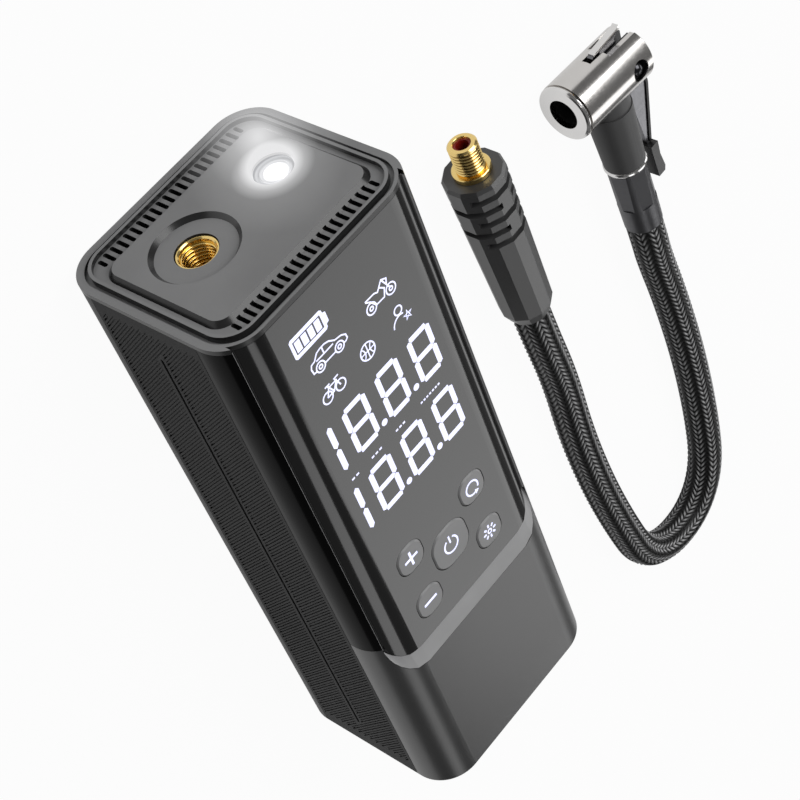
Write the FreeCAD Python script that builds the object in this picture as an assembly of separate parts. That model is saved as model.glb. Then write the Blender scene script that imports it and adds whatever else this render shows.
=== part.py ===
"""Portable tire inflator with its screw-on hose, lying on its back with the display up.

X is the width, Y the long axis towards the vented top end, Z is up and away from the back.
The origin is under the middle of the housing, on the surface that it lies on.
"""
import FreeCAD
import Part
import math
import os

V = FreeCAD.Vector
os.makedirs("parts", exist_ok=True)

# ---------------------------------------------------------------- housing
body_width = 60.0
body_depth = 53.4
body_length = 165.7        # base to the rim of the top cap
crown_rise = 0.9           # middle field of the cap above its rim
back_radius = 9.8
front_radius = 10.1
shell_wall = 2.2
seam_gap = 0.1             # between housing pieces that butt together
base_wall = 2.4

# ribbed side panels
panel_thickness = 1.4
panel_drop = 11.4          # from the front down to the end of the side panels
rib_depth = 0.5
rib_width = 0.95
rib_pitch = 2.05           # along the panel
rib_margin_low = 4.9       # plain band at the base end of the panel
rib_margin_high = 3.6
rib_margin_back = 0.9      # plain strip along the back edge of the panel
rib_margin_front = 1.4
spine_drop = 16.2          # from the panel's end down to its long middle line
spine_half_width = 0.45
spine_clear = 1.0          # plain strip each side of the middle line
spine_end_low = 10.0       # from the base end to the start of the line
spine_end_high = 10.0

# front frame, cover, trim band
cover_inset = 1.0
cover_thickness = 1.5
cover_gap = 0.35           # dark gap along the sides of the cover
side_strip = 2.7           # width of the frame strip beside the cover
frame_foot = 58.9          # from the base to the lower end of the frame strips
cover_foot = 51.2          # from the base to the foot of the cover
band_foot = 46.1           # from the base to the foot of the trim band
cover_corner = 8.0
cover_corner_extra = 0.35  # the corner is this much wider than tall
band_spread = 1.8          # the band narrows by this much up the corners
corner_steps = (0, 6, 14, 24, 36, 50, 66, 90)
band_thickness = 1.5
tray_thickness = 1.4
tray_drop = 2.3            # display space under the cover
tray_boss_radius = 2.6

# top cap
cap_skirt = 1.3
rim_width = 1.85
ridge_offset = 2.95
ridge_width = 0.8
ridge_rise = 0.8
groove_depth = 1.0
channel_depth = 0.4
cap_plate = 2.4            # thickness under the channel floor
plateau_side = 6.2         # body side to the flat of the raised field
plateau_back = 9.3
plateau_front = 9.1
plateau_radius = 3.5
chamfer_run = 1.15
vent_count = 22
vent_pitch = 2.083
vent_width = 1.05
vent_length = 3.9
vent_back_height = 5.9
vent_front_drop = 6.8      # from the front down to the upper row

# outlet and lamp on the raised field
outlet_inset = 20.05       # outlet axis from the side of the housing
outlet_below_middle = 3.3  # outlet, lamp and pump below the middle of the depth
outlet_disc_radius = 10.4
outlet_disc_depth = 1.1
outlet_disc_slope = 1.0
outlet_hole_radius = 5.05
socket_radius = 4.95
socket_drop = 3.1          # face of the socket below the disc
socket_bore_radius = 4.05
socket_bore_depth = 7.6
socket_flange_flats = 13.0
socket_flange = 2.5
socket_boss_radius = 7.6
lamp_inset = 14.8
lamp_radius = 4.8
lamp_drop = 1.5
lens_thickness = 1.8
reflector_depth = 3.0
lamp_board = 1.4
fit_gap = 0.15             # between pieces that slip into each other

# display and buttons
display_margin = 8.0       # from the frame strips to the display
display_foot = 84.0        # from the base to the foot of the display panel
display_head = 4.0         # from the cap to the head of the display panel
power_size = 12.0
power_corner = 4.6
key_size = 8.4
key_corner = 3.3
key_spread = 11.4          # side keys from the middle
keys_centre = 69.3         # from the base to the middle of the power key
key_rise = 8.4             # side keys above and below the power key
key_proud = 0.3
key_gap = 0.18
key_travel = 0.5
key_flange = 0.6
key_flange_width = 0.7
switch_height = 0.35
key_board = 0.5

# main board
board_margin = 0.3         # board inside the sides of the display
board_thickness = 1.6
board_boss = 0.8
board_foot = 57.0
board_head = 12.0

# battery
cell_side_gap = 0.7        # between the cells and the screw pillars
cell_gap = 0.6
cell_foot = 3.4            # from the base to the cells
cell_clear = 33.9          # from the crank axis to the end of the cells
clip_wall = 1.4
clip_length = 6.0
clip_foot = 13.2           # from the base to the lower saddle

# charging socket in the base
usb_height = 31.0
usb_width = 8.9
usb_thick = 3.2
usb_length = 7.3
usb_slot = 0.35            # gap round the socket in the base wall
usb_board = 1.2
usb_board_length = 18.0

# pump: motor, gear pair, crank, rod, cylinder
gear_module = 0.7
pinion_teeth = 12
gear_teeth = 48
pressure_angle = 25.0
gear_width = 4.0
head_clear = 20.1          # from the face of the outlet socket to the cylinder head
motor_lift = 1.6           # from the back wall to the motor
motor_radius = 12.2
motor_end_gap = 2.9        # from the can to the side wall
can_chamfer = 1.0
shaft_radius = 1.15
pump_side_gap = 1.5        # between the cylinder fins and the side wall
rod_thickness = 5.0
crank_radius = 6.0
crank_pin_radius = 2.2
crank_pin_length = 1.7
rod_gap = 0.3              # the crank pin stops this short of the rod
rod_length = 30.0
rod_width = 6.0
rod_eye_radius = 4.6
piston_height = 5.0
piston_gap = 0.3
bore_radius = 8.0
cylinder_wall = 1.6
cylinder_fin = 1.4
fin_count = 5
stroke_gap = 1.5           # between the piston at its highest and the head
bracket_thickness = 1.5
bracket_gap = 0.6
bush_radius = 4.0
bush_length = 4.5
axle_radius = 2.0
axle_gap = 0.15
head_height = 5.0
tube_radius = 3.3
barb_radius = 1.8

# screws in the back
screw_inset = 7.4          # from the side of the housing
screw_foot = 9.5           # from the base to the lower pair
screw_head_gap = 9.5       # from the cap to the upper pair
pillar_radius = 3.2
screw_radius = 1.4
screw_head_radius = 2.6
screw_head_height = 1.8

# hose fitting that screws into the outlet
grip_axis_x = 78.2
grip_axis_y = -5.45
grip_turn = 2.8            # degrees about the vertical
grip_height = 8.6
grip_facets = 12
grip_length = 53.5
grip_top_y = 26.0          # from the reference point to the grip's front face
grip_radius = 8.5
grip_end_radius = 7.4
grip_top_chamfer = 1.0
grip_end_chamfer = 3.5
relief_first = 3.8
relief_pitch = 4.0
relief_count = 5
relief_width = 1.9
relief_depth = 2.0
thread_radius = 3.95
thread_length = 8.2
nipple_flange_radius = 5.15
nipple_flange = 1.6
nipple_bore_radius = 2.3
nipple_shank_radius = 3.4
nipple_shank = 10.0
seal_wall = 0.55
seal_length = 4.0

# valve chuck, in its own frame: stem along -Y, barrel across it
chuck_x = 126.3
chuck_y = 8.5
chuck_turn = 2.0
barrel_turn = -5.5
barrel_radius = 8.25
barrel_wall = 1.25
barrel_ease = 0.4
barrel_mouth = 15.3        # stem axis to the mouth
barrel_tail = 13.0         # stem axis to the rear end
chuck_floor_gap = 0.05
mouth_ring = 1.6
chuck_bore_radius = 4.4
chuck_bore_depth = 17.2
washer_thickness = 1.6
washer_hole = 1.8
pivot_x = 7.5
pin_radius = 1.4
pin_head_radius = 2.2
pin_window_radius = 3.0
claw_slot_front = 12.0     # from the mouth
claw_slot_step = 17.2
claw_slot_narrow = 2.8
claw_slot_wide = 7.2
lever_thickness = 1.8
lever_slot_gap = 0.3
lever_hub_radius = 3.0
stem_radius = 6.75
stem_end_radius = 5.9
stem_length = 29.5
stem_seat = 7.6            # the stem reaches this close to the barrel axis
silver_ring_length = 1.5
silver_ring_radius = 6.15
sleeve_radius = 5.85
sleeve_flat = 5.35
sleeve_flats_length = 14.0
sleeve_length = 22.5
sleeve_end_radius = 5.5
pad_foot = 43.0             # from the barrel axis to the far end of the thumb pad
pad_head = 32.0
pad_inner = 8.0
pad_outer = 11.3
pad_half_height = 2.75
pad_waist = 0.6             # hollow of the pad's outer face
pad_arm_inner = 8.9         # the arm inside the pad
pad_arm_outer = 10.4
pad_arm_end = 4.0           # the arm stops this short of the pad's end
pocket_gap = 0.05
hose_radius = 5.4

# ---------------------------------------------------------------- derived places
half_width = body_width / 2
y_base = -(body_length + crown_rise) / 2
y_rim = y_base + body_length
side_wall = half_width - panel_thickness - seam_gap
inner_half_width = side_wall - (shell_wall - 0.2)
panel_top = body_depth - panel_drop
rib_back_edge = back_radius + rib_margin_back
rib_front_edge = panel_top - rib_margin_front
spine_height = panel_top - spine_drop
step_half_width = half_width - side_strip
display_half_width = step_half_width - display_margin
board_half_width = display_half_width - board_margin
outlet_x = -(half_width - outlet_inset)
lamp_x = half_width - lamp_inset
screw_x = half_width - screw_inset
cell_radius = (screw_x - pillar_radius - cell_side_gap - cell_gap / 2) / 2
rod_x = -(inner_half_width - bore_radius - cylinder_wall - cylinder_fin - pump_side_gap)
vent_front_height = body_depth - vent_front_drop
outlet_height = body_depth / 2 - outlet_below_middle
y_crown = y_rim + crown_rise
y_shell = y_rim - cap_skirt - seam_gap
y_channel = y_rim - channel_depth
y_plate = y_channel - cap_plate
y_frame_foot = y_base + frame_foot
y_cover_foot = y_base + cover_foot
y_band_foot = y_base + band_foot
z_cover = body_depth - cover_inset
z_cover_inner = z_cover - cover_thickness
z_tray = z_cover_inner - tray_drop
z_tray_low = z_tray - tray_thickness
z_board = z_tray_low - board_boss
z_keys = z_cover + key_proud
y_keys = y_base + keys_centre
y_screw_low = y_base + screw_foot
y_screw_high = y_shell - screw_head_gap
x_crank_pin = rod_x + rod_thickness / 2 + rod_gap
x_gear = x_crank_pin + crank_pin_length
x_bracket = x_gear + gear_width + bracket_gap
x_motor = x_bracket + bracket_thickness
motor_length = inner_half_width - motor_end_gap - x_motor
y_socket_face = y_crown - outlet_disc_depth - socket_drop
y_head = y_socket_face - head_clear
y_piston = y_head - stroke_gap - 2 * crank_radius - piston_height
crank_y = y_piston + piston_height / 2 - rod_length + crank_radius
crank_height = outlet_height
centre_distance = gear_module * (pinion_teeth + gear_teeth) / 2
motor_height = shell_wall + motor_lift + motor_radius
motor_drop = crank_height - motor_height
motor_y = crank_y - math.sqrt(centre_distance ** 2 - motor_drop ** 2)
gear_tip = gear_module * (gear_teeth / 2 + 0.75)
y_flange = crank_y + gear_tip + 0.7
y_cylinder = y_flange + bracket_thickness
cell_length = crank_y - cell_clear - y_base - cell_foot
chuck_height = barrel_radius + chuck_floor_gap


# ---------------------------------------------------------------- shared shapes
def box(x_low, x_high, y_low, y_high, z_low, z_high):
    """Block between two corners."""
    corner = V(x_low, y_low, z_low)
    return Part.makeBox(x_high - x_low, y_high - y_low, z_high - z_low, corner)


def rod_along(axis, radius, start, length):
    """Cylinder from start along a unit axis."""
    return Part.makeCylinder(radius, length, start, axis)


def y_rod(radius, x, z, y_low, y_high):
    """Cylinder along Y."""
    return rod_along(V(0, 1, 0), radius, V(x, y_low, z), y_high - y_low)


def x_rod(radius, y, z, x_low, x_high):
    """Cylinder along X."""
    return rod_along(V(1, 0, 0), radius, V(x_low, y, z), x_high - x_low)


def z_rod(radius, x, y, z_low, z_high):
    """Cylinder along Z."""
    return rod_along(V(0, 0, 1), radius, V(x, y, z_low), z_high - z_low)


def y_cone(radius_low, radius_high, x, z, y_low, y_high):
    """Cone along Y."""
    return Part.makeCone(radius_low, radius_high, y_high - y_low, V(x, y_low, z), V(0, 1, 0))


def turned_x(profile):
    """Ring or disc turned about the X axis from (x, radius) corners."""
    corners = [V(x, 0, radius) for x, radius in profile + profile[:1]]
    return Part.Face(Part.makePolygon(corners)).revolve(V(0, 0, 0), V(1, 0, 0), 360)


def eased_ring(low, high, inner, outer, ease):
    """Ring along X whose two outer edges are eased in two steps."""
    step = 0.3 * ease
    return turned_x([
        (low, inner),
        (low, outer - ease),
        (low + step, outer - step),
        (low + ease, outer),
        (high - ease, outer),
        (high - step, outer - step),
        (high, outer - ease),
        (high, inner),
    ])


def fuse_all(first, others):
    """One solid from touching solids, with leftover edges removed."""
    return first.fuse(others).removeSplitter()


def corner_arc(centre, radius, start_degrees, place):
    """Quarter arc of a rounded outline; place maps flat (a, b) to 3-D."""
    points = []
    for step in (0, 45, 90):
        angle = math.radians(start_degrees + step)
        a = centre[0] + radius * math.cos(angle)
        b = centre[1] + radius * math.sin(angle)
        points.append(place(a, b))
    return Part.Arc(points[0], points[1], points[2]).toShape()


def rounded_face(a_low, a_high, b_low, b_high, radius_low, radius_high, place):
    """Rounded rectangle; radius_low at the two b_low corners, radius_high at the others."""
    low = (b_low + radius_low)
    high = (b_high - radius_high)
    arcs = [
        corner_arc((a_high - radius_low, low), radius_low, -90, place),
        corner_arc((a_high - radius_high, high), radius_high, 0, place),
        corner_arc((a_low + radius_high, high), radius_high, 90, place),
        corner_arc((a_low + radius_low, low), radius_low, 180, place),
    ]
    edges = []
    for index, arc in enumerate(arcs):
        following = arcs[(index + 1) % len(arcs)]
        edges.append(arc)
        start = arc.Vertexes[-1].Point
        end = following.Vertexes[0].Point
        if start.distanceToPoint(end) > 1e-6:
            edges.append(Part.LineSegment(start, end).toShape())
    return Part.Face(Part.Wire(edges))


def body_slice(inset, y_low, y_high):
    """Slice of the housing outline, set in on every side."""
    back = max(back_radius - inset, 0.3)
    front = max(front_radius - inset, 0.3)
    width = half_width - inset

    def place(a, b):
        return V(a, y_low, b)

    face = rounded_face(-width, width, inset, body_depth - inset, back, front, place)
    return face.extrude(V(0, y_high - y_low, 0))


def key_prism(x, y, size, corner, z_low, z_high):
    """Rounded square prism, upright."""
    def place(a, b):
        return V(a, b, z_low)

    half = size / 2
    face = rounded_face(x - half, x + half, y - half, y + half, corner, corner, place)
    return face.extrude(V(0, 0, z_high - z_low))


def front_window(margin, y_foot, corner_x, corner_y, z_low, z_high):
    """Upright prism over the front opening, whose two foot corners are rounded."""
    x_side = step_half_width - margin
    x_bend = step_half_width - corner_x
    y_bend = y_foot + corner_y
    foot = []
    for step in corner_steps:
        angle = math.radians(step)
        x = x_bend + (x_side - x_bend) * math.cos(angle)
        y = y_bend - (y_bend - y_foot) * math.sin(angle)
        foot.append((x, y))
    right = [V(x, y, z_low) for x, y in foot]
    left = [V(-x, y, z_low) for x, y in reversed(foot)]
    outline = [V(x_side, y_shell, z_low)] + right + left + [V(-x_side, y_shell, z_low)]
    outline.append(outline[0])
    face = Part.Face(Part.makePolygon(outline))
    return face.extrude(V(0, 0, z_high - z_low))


def front_height(inset, x):
    """Height of the front surface, set in by inset, over a given x."""
    radius = front_radius - inset
    bend = half_width - front_radius
    over = max(abs(x) - bend, 0.0)
    return body_depth - front_radius + math.sqrt(radius ** 2 - over ** 2)


# ---------------------------------------------------------------- housing pieces
def main_shell():
    """Tub of the back, the two sides and the base, recessed for the side panels."""
    tub = body_slice(0, y_base, y_shell)
    hollow = body_slice(shell_wall, y_base + base_wall, y_shell + 1)
    core = box(-inner_half_width, inner_half_width, y_base, y_shell + 1, 0, body_depth)
    tub = tub.cut(hollow.common(core))
    tub = tub.cut(box(-half_width, half_width, y_base - 1, y_shell + 1, panel_top, body_depth + 1))
    for side in (-1, 1):
        low, high = sorted((side * side_wall, side * (half_width + 1)))
        tub = tub.cut(box(low, high, y_base - 1, y_shell + 1, back_radius, panel_top + 1))
    slot_x = usb_width / 2 + usb_slot
    slot_z = usb_thick / 2 + usb_slot

    def place(a, b):
        return V(a, y_base - 1, usb_height + b)

    usb = rounded_face(-slot_x, slot_x, -slot_z, slot_z, slot_z - 0.2, slot_z - 0.2, place)
    tub = tub.cut(usb.extrude(V(0, base_wall + 2, 0)))
    for x in (-screw_x, screw_x):
        for y in (y_screw_low, y_screw_high):
            pillar = z_rod(pillar_radius, x, y, shell_wall / 2, panel_top)
            tub = tub.fuse(pillar)
            tub = tub.cut(z_rod(screw_radius + fit_gap, x, y, -1, panel_top + 1))
            tub = tub.cut(z_rod(screw_head_radius + fit_gap, x, y, -1, screw_head_height + 0.4))
    return tub.removeSplitter()


def grip_panel(side):
    """Side panel with slanting grooves either side of a long middle line."""
    low, high = sorted((side * (side_wall + seam_gap), side * half_width))
    panel = box(low, high, y_base, y_shell, back_radius + seam_gap, panel_top - seam_gap)
    surface = side * half_width
    floor = side * (half_width - rib_depth)
    y_first = y_base + rib_margin_low
    y_last = y_shell - rib_margin_high
    spine_low = y_base + spine_end_low
    spine_high = y_shell - spine_end_high
    edge = spine_half_width + spine_clear
    span = rib_front_edge - rib_back_edge
    count = int((y_last - y_first + span) / rib_pitch)
    grooves = []
    for index in range(count):
        y_start = y_first - span + (index + 0.5) * rib_pitch
        section = [
            V(surface, y_start - rib_width / 2, rib_back_edge),
            V(surface, y_start + rib_width / 2, rib_back_edge),
            V(floor, y_start, rib_back_edge),
        ]
        section.append(section[0])
        face = Part.Face(Part.makePolygon(section))
        grooves.append(face.extrude(V(0, span, span)))
    depth_low, depth_high = sorted((floor, surface))
    field = box(depth_low, depth_high, y_first, y_last, rib_back_edge, rib_front_edge)
    strip = box(depth_low, depth_high, spine_low, spine_high, spine_height - edge, spine_height + edge)
    field = field.cut(strip)
    cutter = Part.makeCompound(grooves).common(field)
    panel = panel.cut(cutter)
    spine = box(depth_low, depth_high, spine_low + edge, spine_high - edge,
                spine_height - spine_half_width, spine_height + spine_half_width)
    return panel.cut(spine)


def front_frame():
    """Two side strips joined by the tray that carries the display and the keys."""
    cover_back = cover_inset + cover_thickness + seam_gap
    y_inner = y_plate - seam_gap
    ring = body_slice(0, y_frame_foot, y_inner)
    ring = ring.cut(body_slice(cover_back + 0.6, y_frame_foot - 1, y_shell + 1))
    ring = ring.fuse(body_slice(0, y_inner - 1, y_shell).cut(body_slice(shell_wall, y_base, y_crown)))
    below = box(-half_width, half_width, y_base, y_crown, -1, panel_top + seam_gap)
    middle = box(-step_half_width, step_half_width, y_base, y_crown, 0, body_depth + 1)
    strips = ring.cut(below).cut(middle)
    under = body_slice(cover_back, y_frame_foot, y_inner)
    under = under.cut(body_slice(cover_back + shell_wall, y_frame_foot - 1, y_shell + 1))
    rails = under.cut(below)
    rails = rails.cut(box(-display_half_width - 2, display_half_width + 2, y_base, y_crown, 0, body_depth))
    tray = body_slice(cover_back, y_cover_foot, y_inner)
    tray = tray.common(box(-half_width, half_width, y_base, y_crown, z_tray_low, z_tray))
    tray = tray.common(box(-step_half_width, step_half_width, y_base, y_crown, 0, body_depth))
    bosses = []
    for x in (-board_half_width + 3, board_half_width - 3):
        for y in (y_base + board_foot + 4, y_shell - board_head - 4):
            bosses.append(z_rod(tray_boss_radius, x, y, z_board, z_tray_low + 0.2))
    frame = fuse_all(strips, [rails, tray] + bosses)
    return frame


def display_cover():
    """Tinted window that wraps onto the front corners, with five key holes."""
    sheet = body_slice(cover_inset, y_base, y_shell)
    sheet = sheet.cut(body_slice(cover_inset + cover_thickness, y_base - 1, y_shell + 1))
    sheet = sheet.common(front_window(cover_gap, y_cover_foot + seam_gap, cover_corner + cover_corner_extra,
                                      cover_corner, panel_top, body_depth))
    for x, y, size, corner in key_places():
        hole = key_prism(x, y, size + 2 * key_gap, corner + key_gap, z_tray, body_depth)
        sheet = sheet.cut(hole)
    return sheet


def band_section(angle_degrees, side):
    """Section of the trim band: inner edge at the cover, outer edge at the lower case."""
    angle = math.radians(angle_degrees)
    reach = step_half_width - seam_gap
    x_bend = step_half_width - cover_corner - cover_corner_extra
    x = x_bend + (reach - x_bend) * math.cos(angle)
    y_bend = y_cover_foot + cover_corner
    y_in = y_bend - cover_corner * math.sin(angle)
    y_out = y_bend - band_spread - (y_bend - band_spread - y_band_foot) * math.sin(angle)
    z_in = front_height(cover_inset, x)
    z_out = front_height(0, x)
    points = [
        V(side * x, y_in, z_in),
        V(side * x, y_out, z_out),
        V(side * x, y_out, z_out - band_thickness - cover_inset),
        V(side * x, y_in, z_in - band_thickness),
    ]
    points.append(points[0])
    return Part.makePolygon(points)


def trim_band():
    """Light band that slopes from the lower case down to the recessed cover."""
    sections = [band_section(step, 1) for step in corner_steps[1:]]
    sections += [band_section(step, -1) for step in reversed(corner_steps[1:])]
    return Part.makeLoft(sections, True, True)


def band_opening(z_low, z_high):
    """Upright prism over the whole band and cover, for cutting the lower case."""
    points = []
    y_bend = y_cover_foot + cover_corner
    x_bend = step_half_width - cover_corner - cover_corner_extra
    for step in corner_steps:
        angle = math.radians(step)
        x = x_bend + (step_half_width - x_bend) * math.cos(angle)
        y = y_bend - band_spread - (y_bend - band_spread - y_band_foot) * math.sin(angle) - seam_gap
        points.append((x, y))
    right = [V(x, y, z_low) for x, y in points]
    left = [V(-x, y, z_low) for x, y in reversed(points)]
    outline = [V(step_half_width, y_crown, z_low)] + right + left + [V(-step_half_width, y_crown, z_low)]
    outline.append(outline[0])
    face = Part.Face(Part.makePolygon(outline))
    return face.extrude(V(0, 0, z_high - z_low))


def lower_case():
    """Front of the lower body with its end wall and a ledge under the band."""
    shell = body_slice(0, y_base, y_frame_foot - seam_gap)
    hollow = body_slice(shell_wall, y_base + base_wall, y_frame_foot + 1)
    shell = shell.cut(hollow)
    shell = shell.cut(box(-half_width, half_width, y_base - 1, y_crown, -1, panel_top + seam_gap))
    shell = shell.cut(band_opening(panel_top, body_depth + 1))
    ledge = body_slice(cover_inset + band_thickness + seam_gap + 0.6, y_band_foot - 3, y_cover_foot - seam_gap)
    ledge = ledge.fuse(body_slice(shell_wall / 2, y_band_foot - 3, y_band_foot - 2 * seam_gap))
    ledge = ledge.cut(body_slice(cover_inset + band_thickness + shell_wall, y_base, y_crown))
    ledge = ledge.cut(box(-half_width, half_width, y_base, y_crown, -1, panel_top + seam_gap))
    shell = fuse_all(shell, [ledge])
    for x in (-screw_x, screw_x):
        boss = z_rod(pillar_radius, x, y_screw_low, panel_top + seam_gap, body_depth - shell_wall - 1.2)
        shell = shell.fuse(boss.common(body_slice(shell_wall / 2, y_base, y_crown)))
        shell = shell.cut(z_rod(screw_radius - 0.2, x, y_screw_low, 0, panel_top + 5))
    return shell.removeSplitter()


def top_cap():
    """Vented end cap: rim, groove, ridge, channel with vents, raised field with two wells."""
    cap = body_slice(0, y_rim - cap_skirt, y_rim)
    notch = body_slice(0, y_rim - cap_skirt - 1, y_rim + 1)
    notch = notch.cut(body_slice(cover_inset, y_rim - cap_skirt - 2, y_rim + 2))
    notch = notch.common(box(-step_half_width, step_half_width, y_base, y_crown + 1,
                             body_depth - front_radius, body_depth + 1))
    cap = cap.cut(notch)
    plug = body_slice(panel_thickness + shell_wall + 2 * seam_gap, y_plate, y_rim)
    cap = cap.fuse(plug)
    groove = body_slice(rim_width, y_rim - groove_depth, y_rim + 1)
    cap = cap.cut(groove.cut(body_slice(ridge_offset, y_plate, y_rim + 2)))
    inside = ridge_offset + ridge_width
    cap = cap.cut(body_slice(inside, y_channel, y_rim + 1))
    ridge = body_slice(ridge_offset, y_rim - groove_depth, y_rim + ridge_rise)
    ridge = ridge.cut(body_slice(inside, y_base, y_crown + 1))
    cap = cap.fuse(ridge)
    cap = cap.fuse(raised_field())
    underside = [y_rod(socket_boss_radius, outlet_x, outlet_height, y_socket_face - 2.0, y_plate + 0.2)]
    for side in (-1, 1):
        post_x = lamp_x + side * (lamp_radius + 2.2)
        underside.append(y_rod(1.6, post_x, outlet_height, lamp_board_face(), y_plate + 0.2))
    cap = fuse_all(cap, underside)
    cap = cap.cut(y_cone(outlet_disc_radius - outlet_disc_slope, outlet_disc_radius, outlet_x,
                         outlet_height, y_crown - outlet_disc_depth, y_crown))
    cap = cap.cut(y_rod(outlet_hole_radius, outlet_x, outlet_height, y_base, y_crown))
    cap = cap.cut(y_rod(lamp_radius, lamp_x, outlet_height, y_crown - lamp_drop, y_crown))
    cap = cap.cut(y_rod(lamp_radius - 0.1, lamp_x, outlet_height, y_base, y_crown))
    return cap.cut(Part.makeCompound(vent_slots()))


def raised_field():
    """Chamfered plateau between the two rows of vents."""
    def rounded_wire(margin, radius, y):
        def place(a, b):
            return V(a, y, b)

        width = half_width - plateau_side - margin
        low = plateau_back + margin
        high = body_depth - plateau_front - margin
        return rounded_face(-width, width, low, high, radius, radius, place).OuterWire

    foot = rounded_wire(-chamfer_run, plateau_radius + chamfer_run, y_channel)
    flat = rounded_wire(0, plateau_radius, y_crown)
    return Part.makeLoft([foot, flat], True, True)


def vent_slots():
    """Two rows of round-ended slots through the channel floor."""
    slots = []
    radius = vent_width / 2
    for row in (vent_back_height, vent_front_height):
        for index in range(vent_count):
            x = (index - (vent_count - 1) / 2) * vent_pitch
            reach = vent_length / 2 - radius
            if index in (0, vent_count - 1):
                reach -= radius
            slot = box(x - radius, x + radius, y_plate - 1, y_rim, row - reach, row + reach)
            for end in (-reach, reach):
                slot = slot.fuse(y_rod(radius, x, row + end, y_plate - 1, y_rim))
            slots.append(slot.removeSplitter())
    return slots


# ---------------------------------------------------------------- outlet, lamp, display, keys
def outlet_socket():
    """Brass socket of the air outlet, with a hex flange behind the cap and a barb."""
    y_low = y_socket_face - socket_bore_depth - 1.5
    socket = y_rod(socket_radius, outlet_x, outlet_height, y_low, y_socket_face)
    flange_top = y_socket_face - 2.0 - seam_gap
    corners = []
    for index in range(7):
        angle = math.radians(60 * index)
        radius = socket_flange_flats / 2 / math.cos(math.radians(30))
        x = outlet_x + radius * math.cos(angle)
        z = outlet_height + radius * math.sin(angle)
        corners.append(V(x, flange_top - socket_flange, z))
    flange = Part.Face(Part.makePolygon(corners)).extrude(V(0, socket_flange, 0))
    barb = y_rod(barb_radius, outlet_x, outlet_height, y_low - 3.0, y_low)
    socket = fuse_all(socket, [flange, barb])
    socket = socket.cut(y_rod(socket_bore_radius, outlet_x, outlet_height,
                              y_socket_face - socket_bore_depth, y_crown))
    return socket.cut(y_rod(1.0, outlet_x, outlet_height, y_base, y_crown))


def lamp_lens_low():
    """Back of the lens, where the reflector starts."""
    return y_crown - lamp_drop - lens_thickness


def lamp_board_face():
    """Face of the lamp board, where the reflector and the posts end."""
    return lamp_lens_low() - seam_gap - reflector_depth


def lamp_lens():
    """Clear lens with a domed front."""
    radius = lamp_radius - 0.1 - fit_gap
    lens = y_rod(radius, lamp_x, outlet_height, lamp_lens_low(), y_crown - lamp_drop - 0.4)
    dome = y_cone(radius, radius - 0.9, lamp_x, outlet_height, y_crown - lamp_drop - 0.4, y_crown - lamp_drop)
    return fuse_all(lens, [dome])


def lamp_reflector():
    """Cup that throws the light forward."""
    top = lamp_lens_low() - seam_gap
    outer = y_rod(lamp_radius - 0.1 - fit_gap, lamp_x, outlet_height, lamp_board_face(), top)
    return outer.cut(y_cone(1.6, lamp_radius - 0.9, lamp_x, outlet_height, lamp_board_face(), top))


def lamp_module():
    """Small board with its light-emitting chip."""
    face = lamp_board_face() - seam_gap
    reach = lamp_radius + 3.8
    board = box(lamp_x - reach, lamp_x + reach, face - lamp_board, face, outlet_height - 4.5, outlet_height + 4.5)
    chip = box(lamp_x - 0.9, lamp_x + 0.9, face, face + 0.7, outlet_height - 0.9, outlet_height + 0.9)
    return fuse_all(board, [chip])


def key_places():
    """Centre, size and corner radius of the five keys."""
    places = [(0.0, y_keys, power_size, power_corner)]
    for x in (-key_spread, key_spread):
        for y in (y_keys + key_rise, y_keys - key_rise):
            places.append((x, y, key_size, key_corner))
    return places


def key_cap(place):
    """Key cap with a crowned edge and a retaining flange under the cover."""
    x, y, size, corner = place
    flange_top = z_cover_inner - seam_gap
    lip = 0.35
    stalk = key_prism(x, y, size, corner, flange_top - key_flange, z_keys - lip)
    crown_low = key_wire(x, y, size, corner, z_keys - lip)
    crown_high = key_wire(x, y, size - 2 * lip, corner - lip, z_keys)
    crown = Part.makeLoft([crown_low, crown_high], True, True)
    flange = key_prism(x, y, size + 2 * key_flange_width, corner + key_flange_width,
                       flange_top - key_flange, flange_top)
    return fuse_all(stalk, [crown, flange])


def key_wire(x, y, size, corner, z):
    """Rounded square outline at a height."""
    def place(a, b):
        return V(a, b, z)

    half = size / 2
    return rounded_face(x - half, x + half, y - half, y + half, corner, corner, place).OuterWire


def key_switches():
    """Board under the keys with five low switches."""
    reach_x = key_spread + key_size / 2 + 1.0
    reach_y = key_rise + key_size / 2 + 1.0
    board = box(-reach_x, reach_x, y_keys - reach_y, y_keys + reach_y, z_tray + 0.02, z_tray + key_board)
    domes = []
    for x, y, size, corner in key_places():
        domes.append(z_rod(size / 4, x, y, z_tray + key_board, z_tray + key_board + switch_height))
    return fuse_all(board, domes)


def display_panel():
    """Light-emitting display module under the cover."""
    low = z_tray + 0.02
    return box(-display_half_width, display_half_width, y_base + display_foot, y_shell - display_head,
               low, z_cover_inner - seam_gap)


def main_board():
    """Control board with a few large components on its lower face."""
    y_low = y_base + board_foot
    y_high = y_shell - board_head
    top = z_board - 0.02
    board = box(-board_half_width, board_half_width, y_low, y_high, top - board_thickness, top)
    parts = []
    for x, y, width, length, height in ((-8, 0.3, 9, 9, 1.2), (8, 0.28, 6, 8, 1.6), (0, 0.62, 7, 7, 1.0)):
        y_mid = y_low + y * (y_high - y_low)
        parts.append(box(x - width / 2, x + width / 2, y_mid - length / 2, y_mid + length / 2,
                         top - board_thickness - height, top - board_thickness))
    return fuse_all(board, parts)


# ---------------------------------------------------------------- power
def cell_axis_height():
    """Height of the cells, one clip wall above the back wall."""
    return shell_wall + clip_wall + cell_radius


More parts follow.
